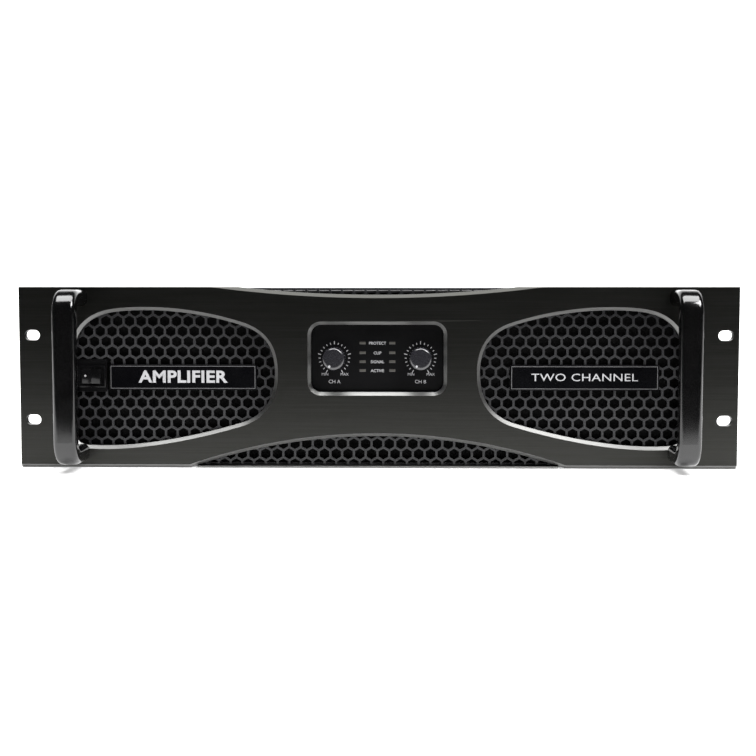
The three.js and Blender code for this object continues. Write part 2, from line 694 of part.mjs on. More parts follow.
function supplyBoard() {
  const { width, z, thickness } = SUPPLY;
  const [front, back] = SUPPLY.y;
  const board = box(-width / 2, width / 2, front, back, z, z + thickness);
  const feet = [-1, 1].flatMap((u) =>
    [front + 6, back - 6].map((y) => rodZ(u * (width / 2 - 6), y, 7, SHEET + GAP, z + 0.1, 12)),
  );
  const fuses = [-12, 0, 12].map((x) => box(x - 4, x + 4, 262, 290, z + 1.5, z + 14));
  return join(board, feet, fuses);
}

function capacitor(x, y) {
  const low = SUPPLY.z + SUPPLY.thickness + GAP;
  const { diameter, height } = CAPACITOR;
  const radius = diameter / 2;
  const profile = [
    [0, 0],
    [radius, 0],
    [radius, height - 1.5],
    [radius - 1.5, height],
    [radius - 3, height],
    [radius - 3.6, height - 1.2],
    [0, height - 1.2],
  ];
  const points = profile.map(([r, h]) => new THREE.Vector2(r, h));
  return solid(new THREE.LatheGeometry(points, 24).rotateX(Math.PI / 2).translate(x, y, low));
}

function rectifier() {
  const low = SHEET + GAP;
  const body = box(-14.5, 14.5, 340, 369, low, low + 11);
  const tabs = [-9, 9].flatMap((x) => [346, 363].map((y) => box(x - 3.2, x + 3.2, y - 0.4, y + 0.4, low + 10.9, low + 20)));
  return join(body, tabs);
}

// ---- amplifier channels ---------------------------------------------------------------------------

function heatsink(side) {
  const { inner, base, outer, fins, fin, low, high } = HEATSINK;
  const [front, back] = HEATSINK.y;
  const pitch = (high - low - fin) / (fins - 1);
  const blades = Array.from({ length: fins }, (_, i) => {
    return across(side, inner + base - 0.1, outer, front, back, low + i * pitch, low + i * pitch + fin);
  });
  const foot = across(side, inner, inner + base, front, back, SHEET + GAP, high);
  return join(foot, blades);
}

function transistorBar(side) {
  const face = HEATSINK.inner - GAP;
  const bar = across(side, face - 8, face - 4.9, 72, 278, 40, 48);
  const packages = Array.from({ length: 7 }, (_, i) => {
    const y = 84 + i * 27.5;
    return across(side, face - 5, face, y, y + 16, 30, 51);
  });
  return join(bar, packages);
}

function ampBoard(side) {
  const face = HEATSINK.inner - 14;
  const board = across(side, face - 1.6, face, 66, 284, 16, 98);
  const parts = [
    across(side, face - 16, face - 1.5, 210, 262, 60, 86),
    across(side, face - 12, face - 1.5, 90, 118, 74, 92),
    ...[140, 160, 180].map((y) => across(side, face - 13, face - 1.5, y, y + 11, 76, 92)),
  ];
  return join(board, parts);
}

// ---- every piece, by name -------------------------------------------------------------------------

add("front_panel", frontPanel(), "anodised");
add("grille", grille(), "grilleBlack");
add("lower_trim", lowerTrim(), "anodised");
add("dust_filter", dustFilter(), "foam");
add("nameplate_left", nameplate(NAMEPLATE.xs[0]), "nameplateBlack");
add("nameplate_right", nameplate(NAMEPLATE.xs[1]), "nameplateBlack");
add("handle_left", handle(-HANDLE.x), "handlePaint");
add("handle_right", handle(HANDLE.x), "handlePaint");
add("power_switch_body", switchBody(), "blackPlastic");
add("power_rocker", rocker(), "blackPlastic");
add("control_panel", controlPanel(), "controlBlack");
add("control_board", controlBoard(), "board");
add("chassis_pan", chassisPan(), "chassisPaint");
add("top_cover", topCover(), "chassisPaint");
add("rear_panel", rearPanel(), "chassisPaint");
add("transformer", transformer(), "winding");
add("transformer_plate", transformerPlate(), "steel");
add("transformer_bolt", transformerBolt(), "steel");
add("supply_board", supplyBoard(), "board");
add("rectifier", rectifier(), "blackPlastic");
add("input_board", inputBoard(), "board");
add("post_block", postBlock(), "blackPlastic");
add("mains_inlet", mainsInlet(), "blackPlastic");
add("breaker_body", breakerBody(), "blackPlastic");
add("breaker_button", breakerButton(), "redPlastic");
add("mode_switch_body", modeBody(), "blackPlastic");
add("mode_slider", modeSlider(), "blackPlastic");

CAPACITOR.ys.forEach((y, row) => {
  CAPACITOR.xs.forEach((x, column) => {
    add(`capacitor_${1 + 2 * row + column}`, capacitor(x, y), "capacitorSleeve");
  });
});

posts.forEach((x, i) => add(`post_cap_${i + 1}`, postCap(x), i % 2 ? "blackCap" : "redPlastic"));

// Channel A is on the left seen from the front, channel B on the right.
[["a", -1], ["b", 1]].forEach(([channel, side], i) => {
  add(`gain_knob_${channel}`, gainKnob(side * KNOB.x), "knobPlastic");
  add(`gain_shaft_${channel}`, gainShaft(side * KNOB.x), "steel");
  add(`gain_pot_${channel}`, gainPot(side * KNOB.x), "steel");
  add(`light_pipe_${channel}`, lightPipe(side), "lens");
  add(`heatsink_${channel}`, heatsink(side), "aluminium");
  add(`transistor_bar_${channel}`, transistorBar(side), "blackPlastic");
  add(`amp_board_${channel}`, ampBoard(side), "board");
  add(`fan_frame_${channel}`, fanFrame(side * FAN.x), "blackPlastic");
  add(`fan_rotor_${channel}`, fanRotor(side * FAN.x), "blackPlastic");
  add(`fan_guard_${channel}`, fanGuard(side * FAN.x), "steel");
  add(`input_socket_${channel}`, socket(INPUTS[i], true), "blackPlastic");
  add(`output_socket_${channel}`, socket(OUTPUTS[i], false), "blackPlastic");
});

export default amplifier;
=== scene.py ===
# %% [markdown]
# # A rack-mount power amplifier
# The CAD model already fixes where everything is and how it moves. This lesson gives it its looks: the
# curved, chamfered front, the honeycomb behind it, the controls, the handles and the rear fittings.
# It starts by loading the frame, with a helper that reads the box of any of its pieces.

# %% Load the frame
import math

import bmesh
import bpy
from mathutils import Matrix, Vector


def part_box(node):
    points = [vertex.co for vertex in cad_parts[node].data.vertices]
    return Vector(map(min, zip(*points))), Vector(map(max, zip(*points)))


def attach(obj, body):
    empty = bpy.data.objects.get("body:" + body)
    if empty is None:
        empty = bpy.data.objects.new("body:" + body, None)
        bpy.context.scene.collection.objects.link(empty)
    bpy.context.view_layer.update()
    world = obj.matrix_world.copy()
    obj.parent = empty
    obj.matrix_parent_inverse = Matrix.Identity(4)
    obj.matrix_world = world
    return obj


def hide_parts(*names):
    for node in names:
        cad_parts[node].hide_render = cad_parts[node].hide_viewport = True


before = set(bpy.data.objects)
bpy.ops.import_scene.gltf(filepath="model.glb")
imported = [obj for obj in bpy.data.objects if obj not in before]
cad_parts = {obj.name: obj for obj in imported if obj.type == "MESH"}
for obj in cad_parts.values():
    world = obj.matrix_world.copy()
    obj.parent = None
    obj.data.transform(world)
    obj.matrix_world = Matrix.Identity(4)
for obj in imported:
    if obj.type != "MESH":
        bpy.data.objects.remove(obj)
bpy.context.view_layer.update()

# %% [markdown]
# ## Measuring in millimetres
# The drawings of such a unit are in millimetres from the front face of its panel, so the cells below
# are too. `place` turns such a point into the frame's metres.

# %% Units and places
MM = 0.001
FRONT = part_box("front_panel")[0].y
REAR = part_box("rear_panel")[1].y
REAR_MM = (REAR - FRONT) / MM
MIDDLE = 61.0


def place(x, y, z):
    return Vector((x * MM, FRONT + y * MM, z * MM))


def moved(x, y, z):
    return Matrix.Translation(place(x, y, z))


FACING_REAR = Matrix.Rotation(-math.pi / 2, 4, "X")
FACING_FRONT = Matrix.Rotation(math.pi / 2, 4, "X")
print("rear panel at", round(REAR_MM, 2), "mm")

# %% [markdown]
# ## Shader groups
# Four surface effects turn up in more than one finish, so each is a node group that is built once:
# the long scratches of a brushed sheet, the orange peel of powder coat, the fine spark-eroded grain of
# a mould, and a slow mottle for handling and dust. Each gives a mask and a height.

# %% A helper that starts a group
def new_group(name, inputs, outputs=("Mask", "Height")):
    group = bpy.data.node_groups.new(name, "ShaderNodeTree")
    for label, value in inputs.items():
        socket = group.interface.new_socket(label, in_out="INPUT", socket_type="NodeSocketFloat")
        socket.default_value = value
    for label in outputs:
        group.interface.new_socket(label, in_out="OUTPUT", socket_type="NodeSocketFloat")
    start = group.nodes.new("NodeGroupInput")
    end = group.nodes.new("NodeGroupOutput")
    coordinates = group.nodes.new("ShaderNodeTexCoord")
    return group, start, end, coordinates


def noise_node(group, detail, roughness=0.5):
    node = group.nodes.new("ShaderNodeTexNoise")
    node.inputs["Detail"].default_value = detail
    node.inputs["Roughness"].default_value = roughness
    return node


# %% Brushed metal: noise drawn out along X
def brushed_group():
    group, start, end, coordinates = new_group("Brushed lines", {"Fineness": 1.0})
    link = group.links.new
    stretch = group.nodes.new("ShaderNodeMapping")
    stretch.inputs["Scale"].default_value = (14, 900, 900)
    scratches = noise_node(group, 6, 0.7)
    link(coordinates.outputs["Object"], stretch.inputs["Vector"])
    link(stretch.outputs["Vector"], scratches.inputs["Vector"])
    link(start.outputs["Fineness"], scratches.inputs["Scale"])
    link(scratches.outputs["Fac"], end.inputs["Mask"])
    link(scratches.outputs["Fac"], end.inputs["Height"])
    return group


# %% Powder coat and moulded grain
def grain_group(name, detail, broad):
    group, start, end, coordinates = new_group(name, {"Scale": 600.0})
    link = group.links.new
    fine = noise_node(group, detail)
    slow = noise_node(group, 3)
    slow.inputs["Scale"].default_value = broad
    link(coordinates.outputs["Object"], fine.inputs["Vector"])
    link(coordinates.outputs["Object"], slow.inputs["Vector"])
    link(start.outputs["Scale"], fine.inputs["Scale"])
    link(fine.outputs["Fac"], end.inputs["Height"])
    link(slow.outputs["Fac"], end.inputs["Mask"])
    return group


GROUPS = {
    "brushed": brushed_group(),
    "powder": grain_group("Powder coat", 2, 18),
    "moulded": grain_group("Moulded grain", 5, 35),
    "smooth": grain_group("Handled surface", 1, 60),
}
print("shader groups", sorted(group.name for group in GROUPS.values()))

# %% [markdown]
# ## Finishes
# Every finish mixes two near colours by its mask, lets its roughness wander between two values, and
# presses its height into the surface with a small bump. Only the numbers differ.

# %% A helper that makes a finish
def finish(
    name, colours, rough, grain="powder", scale=None, bump=0.1, depth=0.05, specular=0.5, metallic=0.0
):
    material = bpy.data.materials.new(name)
    material.use_nodes = True
    nodes, link = material.node_tree.nodes, material.node_tree.links.new
    shader = nodes["Principled BSDF"]
    shader.inputs["Metallic"].default_value = metallic
    shader.inputs["Specular IOR Level"].default_value = specular
    effect = nodes.new("ShaderNodeGroup")
    effect.node_tree = GROUPS[grain]
    if scale:
        effect.inputs[0].default_value = scale
    tint = nodes.new("ShaderNodeMix")
    tint.data_type = "RGBA"
    tint.inputs["A"].default_value = (*colours[0], 1)
    tint.inputs["B"].default_value = (*colours[1], 1)
    spread = nodes.new("ShaderNodeMapRange")
    spread.inputs["From Min"].default_value = 0.3
    spread.inputs["From Max"].default_value = 0.7
    sheen = nodes.new("ShaderNodeMapRange")
    sheen.inputs["To Min"].default_value = rough[0]
    sheen.inputs["To Max"].default_value = rough[1]
    press = nodes.new("ShaderNodeBump")
    press.inputs["Strength"].default_value = bump
    press.inputs["Distance"].default_value = depth * MM
    link(effect.outputs["Mask"], spread.inputs["Value"])
    link(spread.outputs["Result"], tint.inputs["Factor"])
    link(spread.outputs["Result"], sheen.inputs["Value"])
    link(tint.outputs["Result"], shader.inputs["Base Color"])
    link(sheen.outputs["Result"], shader.inputs["Roughness"])
    link(effect.outputs["Height"], press.inputs["Height"])
    link(press.outputs["Normal"], shader.inputs["Normal"])
    return material


# %% The finishes of this unit
brushed_dark = finish(
    "dark brushed face", ((0.032, 0.032, 0.029), (0.040, 0.040, 0.038)), (0.32, 0.40), "brushed", 1,
    bump=0.2, depth=0.02, metallic=1.0,
)
cut_edge = finish(
    "bright cut edge", ((0.145, 0.145, 0.141), (0.197, 0.197, 0.194)), (0.34, 0.46), "brushed", 1.5,
    bump=0.1, depth=0.01, metallic=1.0,
)
mesh_black = finish(
    "grille coat", ((0.0135, 0.0135, 0.015), (0.021, 0.021, 0.0225)), (0.38, 0.5), "powder", 1400,
    bump=0.15,
)
chassis_black = finish(
    "textured case coat", ((0.010, 0.010, 0.011), (0.012, 0.012, 0.013)), (0.54, 0.59), "powder", 900,
    bump=0.5,
)
handle_coat = finish(
    "handle coat", ((0.001, 0.001, 0.0011), (0.0015, 0.0015, 0.0016)), (0.12, 0.17), "smooth", 1500,
    bump=0.05, depth=0.02, specular=0.7,
)
panel_black = finish(
    "control panel face", ((0.0012, 0.0012, 0.0015), (0.002, 0.002, 0.0024)), (0.42, 0.5), "moulded", 1600,
    bump=0.1, depth=0.03, specular=0.1,
)
knob_black = finish(
    "knob moulding", ((0.009, 0.009, 0.011), (0.013, 0.013, 0.016)), (0.16, 0.24), "moulded", 2200,
    bump=0.08, depth=0.03, specular=1.0,
)
gloss_black = finish(
    "gloss black moulding", ((0.0015, 0.0015, 0.002), (0.0025, 0.0025, 0.003)), (0.14, 0.2), "smooth", 800,
    bump=0.05, depth=0.03, specular=0.12,
)
connector_black = finish(
    "connector moulding", ((0.012, 0.012, 0.013), (0.02, 0.02, 0.021)), (0.38, 0.5), "moulded", 1500,
    bump=0.2,
)
print_white = finish(
    "screen print", ((0.36, 0.36, 0.37), (0.44, 0.44, 0.45)), (0.5, 0.6), "moulded", 2000, bump=0.05
)
print_grey = finish(
    "faint screen print", ((0.30, 0.30, 0.31), (0.40, 0.40, 0.41)), (0.5, 0.6), "moulded", 2000, bump=0.05
)
border_grey = finish(
    "border line", ((0.08, 0.08, 0.082), (0.11, 0.11, 0.112)), (0.4, 0.5), "moulded", 2000, bump=0.05
)
switch_gloss = finish(
    "switch moulding", ((0.003, 0.003, 0.0033), (0.005, 0.005, 0.0055)), (0.12, 0.18), "smooth", 800,
    bump=0.05, depth=0.03, specular=0.3,
)
lens_grey = finish(
    "unlit lens", ((0.035, 0.033, 0.030), (0.06, 0.057, 0.05)), (0.25, 0.35), "smooth", 900, bump=0.05
)
zinc = finish(
    "zinc plate", ((0.42, 0.43, 0.44), (0.58, 0.59, 0.60)), (0.28, 0.42), "smooth", 500, bump=0.1,
    metallic=1.0,
)
bright_wire = finish(
    "bright plated wire", ((0.30, 0.30, 0.305), (0.38, 0.38, 0.385)), (0.2, 0.3), "smooth", 700, bump=0.05,
    metallic=1.0,
)
nickel = finish(
    "contact nickel", ((0.55, 0.54, 0.50), (0.68, 0.66, 0.60)), (0.18, 0.28), "smooth", 900, bump=0.05,
    metallic=1.0,
)
screw_black = finish(
    "blackened screw", ((0.02, 0.02, 0.021), (0.04, 0.04, 0.041)), (0.3, 0.42), "smooth", 900, bump=0.1,
    metallic=0.8,
)
extruded = finish(
    "extruded aluminium", ((0.50, 0.51, 0.52), (0.62, 0.63, 0.64)), (0.35, 0.48), "brushed", 0.6, bump=0.2,
    depth=0.02, metallic=1.0,
)
board_green = finish(
    "solder mask", ((0.012, 0.09, 0.035), (0.02, 0.14, 0.055)), (0.25, 0.4), "smooth", 260, bump=0.15
)
epoxy_black = finish(
    "moulded epoxy", ((0.012, 0.012, 0.012), (0.022, 0.022, 0.022)), (0.45, 0.6), "moulded", 1800,
    bump=0.2,
)
# Near-black foam of the dust filter, dark enough to also be painted shade inside the case.
foam_black_shade = finish(
    "open foam and shade", ((0.002, 0.002, 0.002), (0.006, 0.006, 0.006)), (0.85, 0.95), "moulded", 900, bump=0.8,
    depth=0.4, specular=0.1,
)
fan_black = finish(
    "fan moulding", ((0.010, 0.010, 0.011), (0.018, 0.018, 0.019)), (0.42, 0.55), "moulded", 1500,
    bump=0.15,
)
red_gloss = finish(
    "red moulding", ((0.36, 0.010, 0.010), (0.46, 0.018, 0.016)), (0.25, 0.36), "smooth", 900, bump=0.08
)
black_gloss = finish(
    "black cap moulding", ((0.010, 0.010, 0.011), (0.018, 0.018, 0.019)), (0.25, 0.36), "smooth", 900,
    bump=0.08,
)
print(len(bpy.data.materials), "materials")


# %% [markdown]
# ## Wound film and printed sleeves
# Two finishes carry a pattern of their own. The transformer is wrapped in overlapping amber tape, which
# shows as bands around the ring, so a radial gradient about its axis drives a wave. The capacitors have a
# dark sleeve with a pale stripe up one side.

# %% The turn about a piece's own upright axis
def turn_about(material, node):
    """A value that goes from 0 to 1 once round the middle of a node."""
    nodes, link = material.node_tree.nodes, material.node_tree.links.new
    low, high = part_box(node)
    coordinates = nodes.new("ShaderNodeTexCoord")
    mapping = nodes.new("ShaderNodeMapping")
    mapping.inputs["Location"].default_value = -(low + high) / 2
    angle = nodes.new("ShaderNodeTexGradient")
    angle.gradient_type = "RADIAL"
    link(coordinates.outputs["Object"], mapping.inputs["Vector"])
    link(mapping.outputs["Vector"], angle.inputs["Vector"])
    return angle.outputs["Fac"]


# %% Tape bands about the transformer's axis
def tape_finish():
    colours = ((0.30, 0.15, 0.035), (0.42, 0.22, 0.06))
    material = finish("wound film", colours, (0.22, 0.34), "smooth", 400, bump=0.1)
    nodes, link = material.node_tree.nodes, material.node_tree.links.new
    bands = nodes.new("ShaderNodeMath")
    bands.operation = "MULTIPLY"
    bands.inputs[1].default_value = 64
    step = nodes.new("ShaderNodeMath")
    step.operation = "FRACT"
    link(turn_about(material, "transformer"), bands.inputs[0])
    link(bands.outputs[0], step.inputs[0])
    press = nodes["Bump"]
    press.inputs["Strength"].default_value = 0.6
    press.inputs["Distance"].default_value = 0.3 * MM
    link(step.outputs[0], press.inputs["Height"])
    return material


# %% Sleeve with a stripe
def sleeve_finish(node):
    colours = ((0.012, 0.016, 0.04), (0.018, 0.024, 0.055))
    material = finish("sleeve " + node, colours, (0.2, 0.3), "smooth", 700, bump=0.05)
    nodes, link = material.node_tree.nodes, material.node_tree.links.new
    stripe = nodes.new("ShaderNodeMath")
    stripe.operation = "COMPARE"
    stripe.inputs[1].default_value = 0.25
    stripe.inputs[2].default_value = 0.05
    over = nodes.new("ShaderNodeMix")
    over.data_type = "RGBA"
    over.inputs["B"].default_value = (0.5, 0.5, 0.48, 1)
    link(turn_about(material, node), stripe.inputs[0])
    link(stripe.outputs[0], over.inputs["Factor"])
    link(nodes["Mix"].outputs["Result"], over.inputs["A"])
    link(over.outputs["Result"], nodes["Principled BSDF"].inputs["Base Color"])
    return material


tape = tape_finish()

# %% [markdown]
# ## From bmesh to piece
# Each piece is shaped as a bmesh whose vertices are already in their real place, so its object stays at
# the origin. `piece` smooths it, keeps edges sharper than 32 degrees crisp and faces larger than a given
# number of square millimetres flat, and says what it rides on and which CAD nodes it stands for.

# %% A helper that finishes a piece
def piece(name, bm, materials, replaces=(), body="chassis", flat_over=400):
    mesh = bpy.data.meshes.new(name)
    bm.to_mesh(mesh)
    bm.free()
    materials = materials if isinstance(materials, (list, tuple)) else [materials]
    for material in materials:
        mesh.materials.append(material)
    mesh.set_sharp_from_angle(angle=math.radians(32))
    mesh.polygons.foreach_set("use_smooth", [p.area < flat_over * MM**2 for p in mesh.polygons])
    made = bpy.data.objects.new(name, mesh)
    bpy.context.scene.collection.objects.link(made)
    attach(made, body)
    if replaces:
        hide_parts(*replaces)
    print(f"{name}: {len(mesh.polygons)} faces")
    return made


def bevel(bm, edges, width, segments=2):
    bmesh.ops.bevel(
        bm, geom=edges, offset=width * MM, affect="EDGES", segments=segments, profile=0.5, material=-1,
        clamp_overlap=True,
    )


def sharp_edges(bm, degrees=30):
    limit = math.radians(degrees)
    return [e for e in bm.edges if len(e.link_faces) == 2 and e.calc_face_angle(0) > limit]


# %% Rounded blocks, rods and turned shapes
def add_block(bm, size, centre, radius=0.3, segments=2):
    width, depth, height = size
    matrix = moved(*centre) @ Matrix.Diagonal((width * MM, depth * MM, height * MM, 1))
    made = bmesh.ops.create_cube(bm, size=1, matrix=matrix)["verts"]
    edges = list({e for v in made for e in v.link_edges})
    if radius:
        bevel(bm, edges, radius, segments)
    return made


def add_rod(bm, diameter, start, end, x, z, sides=32, edge=0.2):
    matrix = moved(x, (start + end) / 2, z) @ FACING_REAR
    made = bmesh.ops.create_cone(
        bm, cap_ends=True, segments=sides, radius1=diameter / 2 * MM, radius2=diameter / 2 * MM,
        depth=(end - start) * MM, matrix=matrix,
    )["verts"]
    if edge:
        rims = [e for e in {e for v in made for e in v.link_edges} if e.calc_face_angle(0) > 1.0]
        bevel(bm, rims, edge)


def add_turned(bm, profile, x, z, steps=48):
    """A profile of (radius, y) points spun about an axis along Y. A point of radius 0 closes an end."""
    points = [bm.verts.new(place(x + radius, y, z)) for radius, y in profile]
    edges = [bm.edges.new(pair) for pair in zip(points, points[1:])]
    before = set(bm.faces)
    bmesh.ops.spin(
        bm, geom=points + edges, cent=place(x, 0, z), axis=(0, 1, 0), angle=2 * math.pi, steps=steps,
        use_merge=True,
    )
    bmesh.ops.remove_doubles(bm, verts=bm.verts, dist=0.002 * MM)
    made = [f for f in bm.faces if f not in before]
    bmesh.ops.recalc_face_normals(bm, faces=made)


# %% [markdown]
# ## Plates with curved outlines
# The front panel's windows are long smooth curves. A flat Bezier curve holds them exactly, fills itself
# around its holes and rounds its rims, which a row of straight cuts could not. It is turned upright, made
# a mesh, and its back is sliced off flat, as are any edges that stay square.

# %% A plate from Bezier and straight outlines
def curve_plate(outlines, thickness, rim, rim_steps, slices=(), resolution=16):
    curve = bpy.data.curves.new("outline", "CURVE")
    curve.dimensions = "2D"
    curve.fill_mode = "BOTH"
    curve.extrude = thickness * MM
    curve.bevel_depth = rim * MM
    curve.bevel_resolution = rim_steps
    for points in outlines:
        spline = curve.splines.new("BEZIER")
        spline.resolution_u = resolution
        spline.bezier_points.add(len(points) - 1)
        spline.use_cyclic_u = True
        for knot, (before, at, after) in zip(spline.bezier_points, points):
            knot.handle_left = (before[0] * MM, before[1] * MM, 0)
            knot.co = (at[0] * MM, at[1] * MM, 0)
            knot.handle_right = (after[0] * MM, after[1] * MM, 0)
    holder = bpy.data.objects.new("outline", curve)
    bpy.context.scene.collection.objects.link(holder)
    bpy.context.view_layer.update()
    bm = bmesh.new()
    bm.from_mesh(holder.evaluated_get(bpy.context.evaluated_depsgraph_get()).to_mesh())
    bpy.data.objects.remove(holder)
    bmesh.ops.remove_doubles(bm, verts=bm.verts, dist=0.004 * MM)
    bm.transform(moved(0, thickness + rim, 0) @ FACING_FRONT)
    for point, normal in ((place(0, thickness, 0), (0, 1, 0)), *slices):
        whole = bm.verts[:] + bm.edges[:] + bm.faces[:]
        bmesh.ops.bisect_plane(bm, geom=whole, plane_co=point, plane_no=normal, clear_outer=True)
        rims = [e for e in bm.edges if len(e.link_faces) == 1]
        bmesh.ops.triangle_fill(bm, edges=rims, use_beauty=True, normal=normal)
    bmesh.ops.recalc_face_normals(bm, faces=bm.faces)
    return bm


# %% [markdown]
# ## Front panel
# A 6 mm aluminium plate, milled to shape, brushed lengthwise and anodised dark. The chamfers are cut after
# anodising, which is why they shine; the one on the top arch gets the dark face finish as painted shade.
# It tones down the highlight it would catch. The outlines are given as knots with the handles of their
# curves.

# %% Outlines of the panel
PANEL = {"half": 241.3, "height": 122.0, "thick": 6, "rim": 2.2}
LOWER_ARCH, TOP_ARCH = (133, 23.7), (112, 7.4)
OVERRUN = 3


def chain(*steps):
    """Knots from a start point followed by (handle, handle, point) steps, ending where it began."""
    points = [steps[0]] + [step[2] for step in steps[1:]]
    into = [steps[-1][1]] + [step[1] for step in steps[1:]]
    out = [step[0] for step in steps[1:]] + [None]
    knots = [[before, at, after] for before, at, after in zip(into, points, out)]
    knots.pop()
    return knots


def leaf(side):
    steps = [
        (66.8, 64),
        ((66.8, 82), (74, 92), (88, 97.5)),
        ((110, 105), (135, 108.6), (155, 108.6)),
        ((172, 108.6), (183, 107.4), (190, 103.9)),
        ((199.5, 99.4), (206, 91), (206, 80)),
        ((206, 60), (206, 40), (206, 22)),
        ((206, 16), (202, 13), (194, 12.8)),
        ((165, 11.2), (128, 17.4), (92, 28)),
        ((75, 33), (66.8, 46), (66.8, 64)),
    ]
    start, *curves = steps
    mirrored = [tuple((side * u, w) for u, w in curve) for curve in curves]
    return chain((side * start[0], start[1]), *mirrored)


def rounded(x, z, width, height, radius):
    pull = radius * 0.448
    u, w = width / 2, height / 2
    knots = []
    for sx, sz, along in ((1, -1, 1), (1, 1, 0), (-1, 1, 1), (-1, -1, 0)):
        a = (x + sx * (u - radius), z + sz * w)
        b = (x + sx * u, z + sz * (w - radius))
        pa = (x + sx * (u - pull), z + sz * w)
        pb = (x + sx * u, z + sz * (w - pull))
        if not along:
            a, b, pa, pb = b, a, pb, pa
        knots += [[a, a, pa], [pb, b, b]]
    return knots


def arch(half, depth, height, flip):
    """Knots of a circular arc, depth high and 2 * half wide at the edge, that ends at a height."""
    radius = (half**2 + depth**2) / (2 * depth)
    end = math.sqrt(radius**2 - (radius - depth + height) ** 2)
    turn = math.asin(end / radius)
    pull = 4 / 3 * math.tan(turn / 4) * radius
    along, up = pull * math.cos(turn), pull * math.sin(turn)
    knots = [
        [(-end, height), (-end, height), (along - end, height + up)],
        [(-pull, depth), (0, depth), (pull, depth)],
        [(end - along, height + up), (end, height), (end, height)],
    ]
    return [[(-u, PANEL["height"] - w) for u, w in knot] for knot in knots] if flip else knots


def panel_border():
    """The lower edge is chamfered. The top and the ends run over and are sliced square."""
    rim, half, top = PANEL["rim"], PANEL["half"] + OVERRUN, PANEL["height"] + OVERRUN
    corners = [[(u, w)] * 3 for u, w in ((-half, rim), (half, rim), (half, top), (-half, top))]
    lower = arch(*LOWER_ARCH, rim, False)
    upper = arch(*TOP_ARCH, -OVERRUN, True)
    return [corners[0], *lower, corners[1], corners[2], *upper, corners[3]]


# %% Make the panel and cut its rack slots
RACK_SLOT = {"x": 232.55, "pitch": 57.15, "radius": 3.5, "stretch": 1.65}
CONTROL_Z = 74.0


def cut_slots(bm):
    plate = bpy.data.meshes.new("plate")
    bm.to_mesh(plate)
    bm.free()
    cutter = bmesh.new()
    for sx in (-1, 1):
        for sz in (-1, 1):
            x, z = sx * RACK_SLOT["x"], MIDDLE + sz * RACK_SLOT["pitch"] / 2
            radius = RACK_SLOT["radius"] * MM
            ends = bmesh.ops.create_cone(
                cutter, cap_ends=True, segments=40, radius1=radius, radius2=radius, depth=14 * MM,
                matrix=moved(x, 3, z) @ FACING_REAR,
            )["verts"]
            for v in ends:
                if abs(v.co.x - x * MM) > 1e-6:
                    v.co.x += math.copysign(RACK_SLOT["stretch"] * MM, v.co.x - x * MM)
    bmesh.ops.recalc_face_normals(cutter, faces=cutter.faces)
    tool = bpy.data.meshes.new("slots")
    cutter.to_mesh(tool)
    cutter.free()
    a, b = (bpy.data.objects.new(m.name, m) for m in (plate, tool))
    for o in (a, b):
        bpy.context.scene.collection.objects.link(o)
    drill = a.modifiers.new("slots", "BOOLEAN")
    drill.object = b
    drill.operation = "DIFFERENCE"
    drill.solver = "EXACT"
    bpy.context.view_layer.update()
    out = bmesh.new()
    out.from_mesh(a.evaluated_get(bpy.context.evaluated_depsgraph_get()).to_mesh())
    bpy.data.objects.remove(a)
    bpy.data.objects.remove(b)
    return out


square = [
    (place(0, 0, PANEL["height"]), (0, 0, 1)),
    (place(-PANEL["half"], 0, 0), (-1, 0, 0)),
    (place(PANEL["half"], 0, 0), (1, 0, 0)),
]
panel = curve_plate(
    [panel_border(), leaf(-1), leaf(1), rounded(0, CONTROL_Z, 93.7, 49.8, 9)],
    PANEL["thick"], PANEL["rim"], 0, square,
)
panel = cut_slots(panel)
for face in panel.faces:
    centre = face.calc_center_median()
    on_rim = (centre.y - FRONT) / MM < PANEL["rim"] and abs(face.normal.y) < 0.985
    in_slot = abs(centre.x) > 222 * MM and abs(centre.z - MIDDLE * MM) < 40 * MM
    # The top arch's chamfer keeps the dark face finish: painted shade over its highlight.
    below_top_arch = centre.z < 112 * MM
    face.material_index = 1 if on_rim and below_top_arch and not in_slot else 0
piece("front_plate", panel, [brushed_dark, cut_edge], ["front_panel"])

# %% [markdown]
# ## Lower trim
# A thin bright strip closes the lower arch under the honeycomb. It is one block with its edges
# rounded over.

# %% Make the lower trim
trim = bmesh.new()
add_block(trim, (243.6, 7.9, 1.2), (0, 4.35, 0.6), 0.35, 3)
piece("arch_trim", trim, cut_edge, ["lower_trim"])

# %% [markdown]
# ## Honeycomb grille
# A punched steel sheet with six-sided holes at 8 mm pitch. One cell is a hexagon ring, made by bridging two
# six-sided circles. Copying the cell along a row, and a pair of rows up the sheet, gives the whole comb for
# very few faces, and one extrusion gives it its thickness.

# %% One cell, then rows of it
PITCH, HOLE, SHEET_Y, SHEET = 8.0, 6.5, 6.3, 2.0
ROW = PITCH * math.sqrt(3) / 2


def hexagon(bm, x, z, across):
    matrix = moved(x, SHEET_Y, z) @ FACING_REAR
    return bmesh.ops.create_circle(bm, segments=6, radius=across / math.sqrt(3) * MM, matrix=matrix)["verts"]


def comb(first_x, first_z, columns, pairs):
    bm = bmesh.new()
    for dx, dz in ((0, 0), (-PITCH / 2, ROW)):
        rings = hexagon(bm, first_x + dx, first_z + dz, PITCH) + hexagon(bm, first_x + dx, first_z + dz, HOLE)
        edges = list({e for v in rings for e in v.link_edges})
        bmesh.ops.bridge_loops(bm, edges=edges)
    for count, step in ((columns, (PITCH * MM, 0, 0)), (pairs, (0, 0, 2 * ROW * MM))):
        geometry = bm.verts[:] + bm.edges[:] + bm.faces[:]
        bmesh.ops.spin(
            bm, geom=geometry, cent=(0, 0, 0), axis=(0, 1, 0), dvec=step, angle=0, steps=count - 1,
            use_duplicate=True,
        )
    bmesh.ops.remove_doubles(bm, verts=bm.verts, dist=0.02 * MM)
    return bm


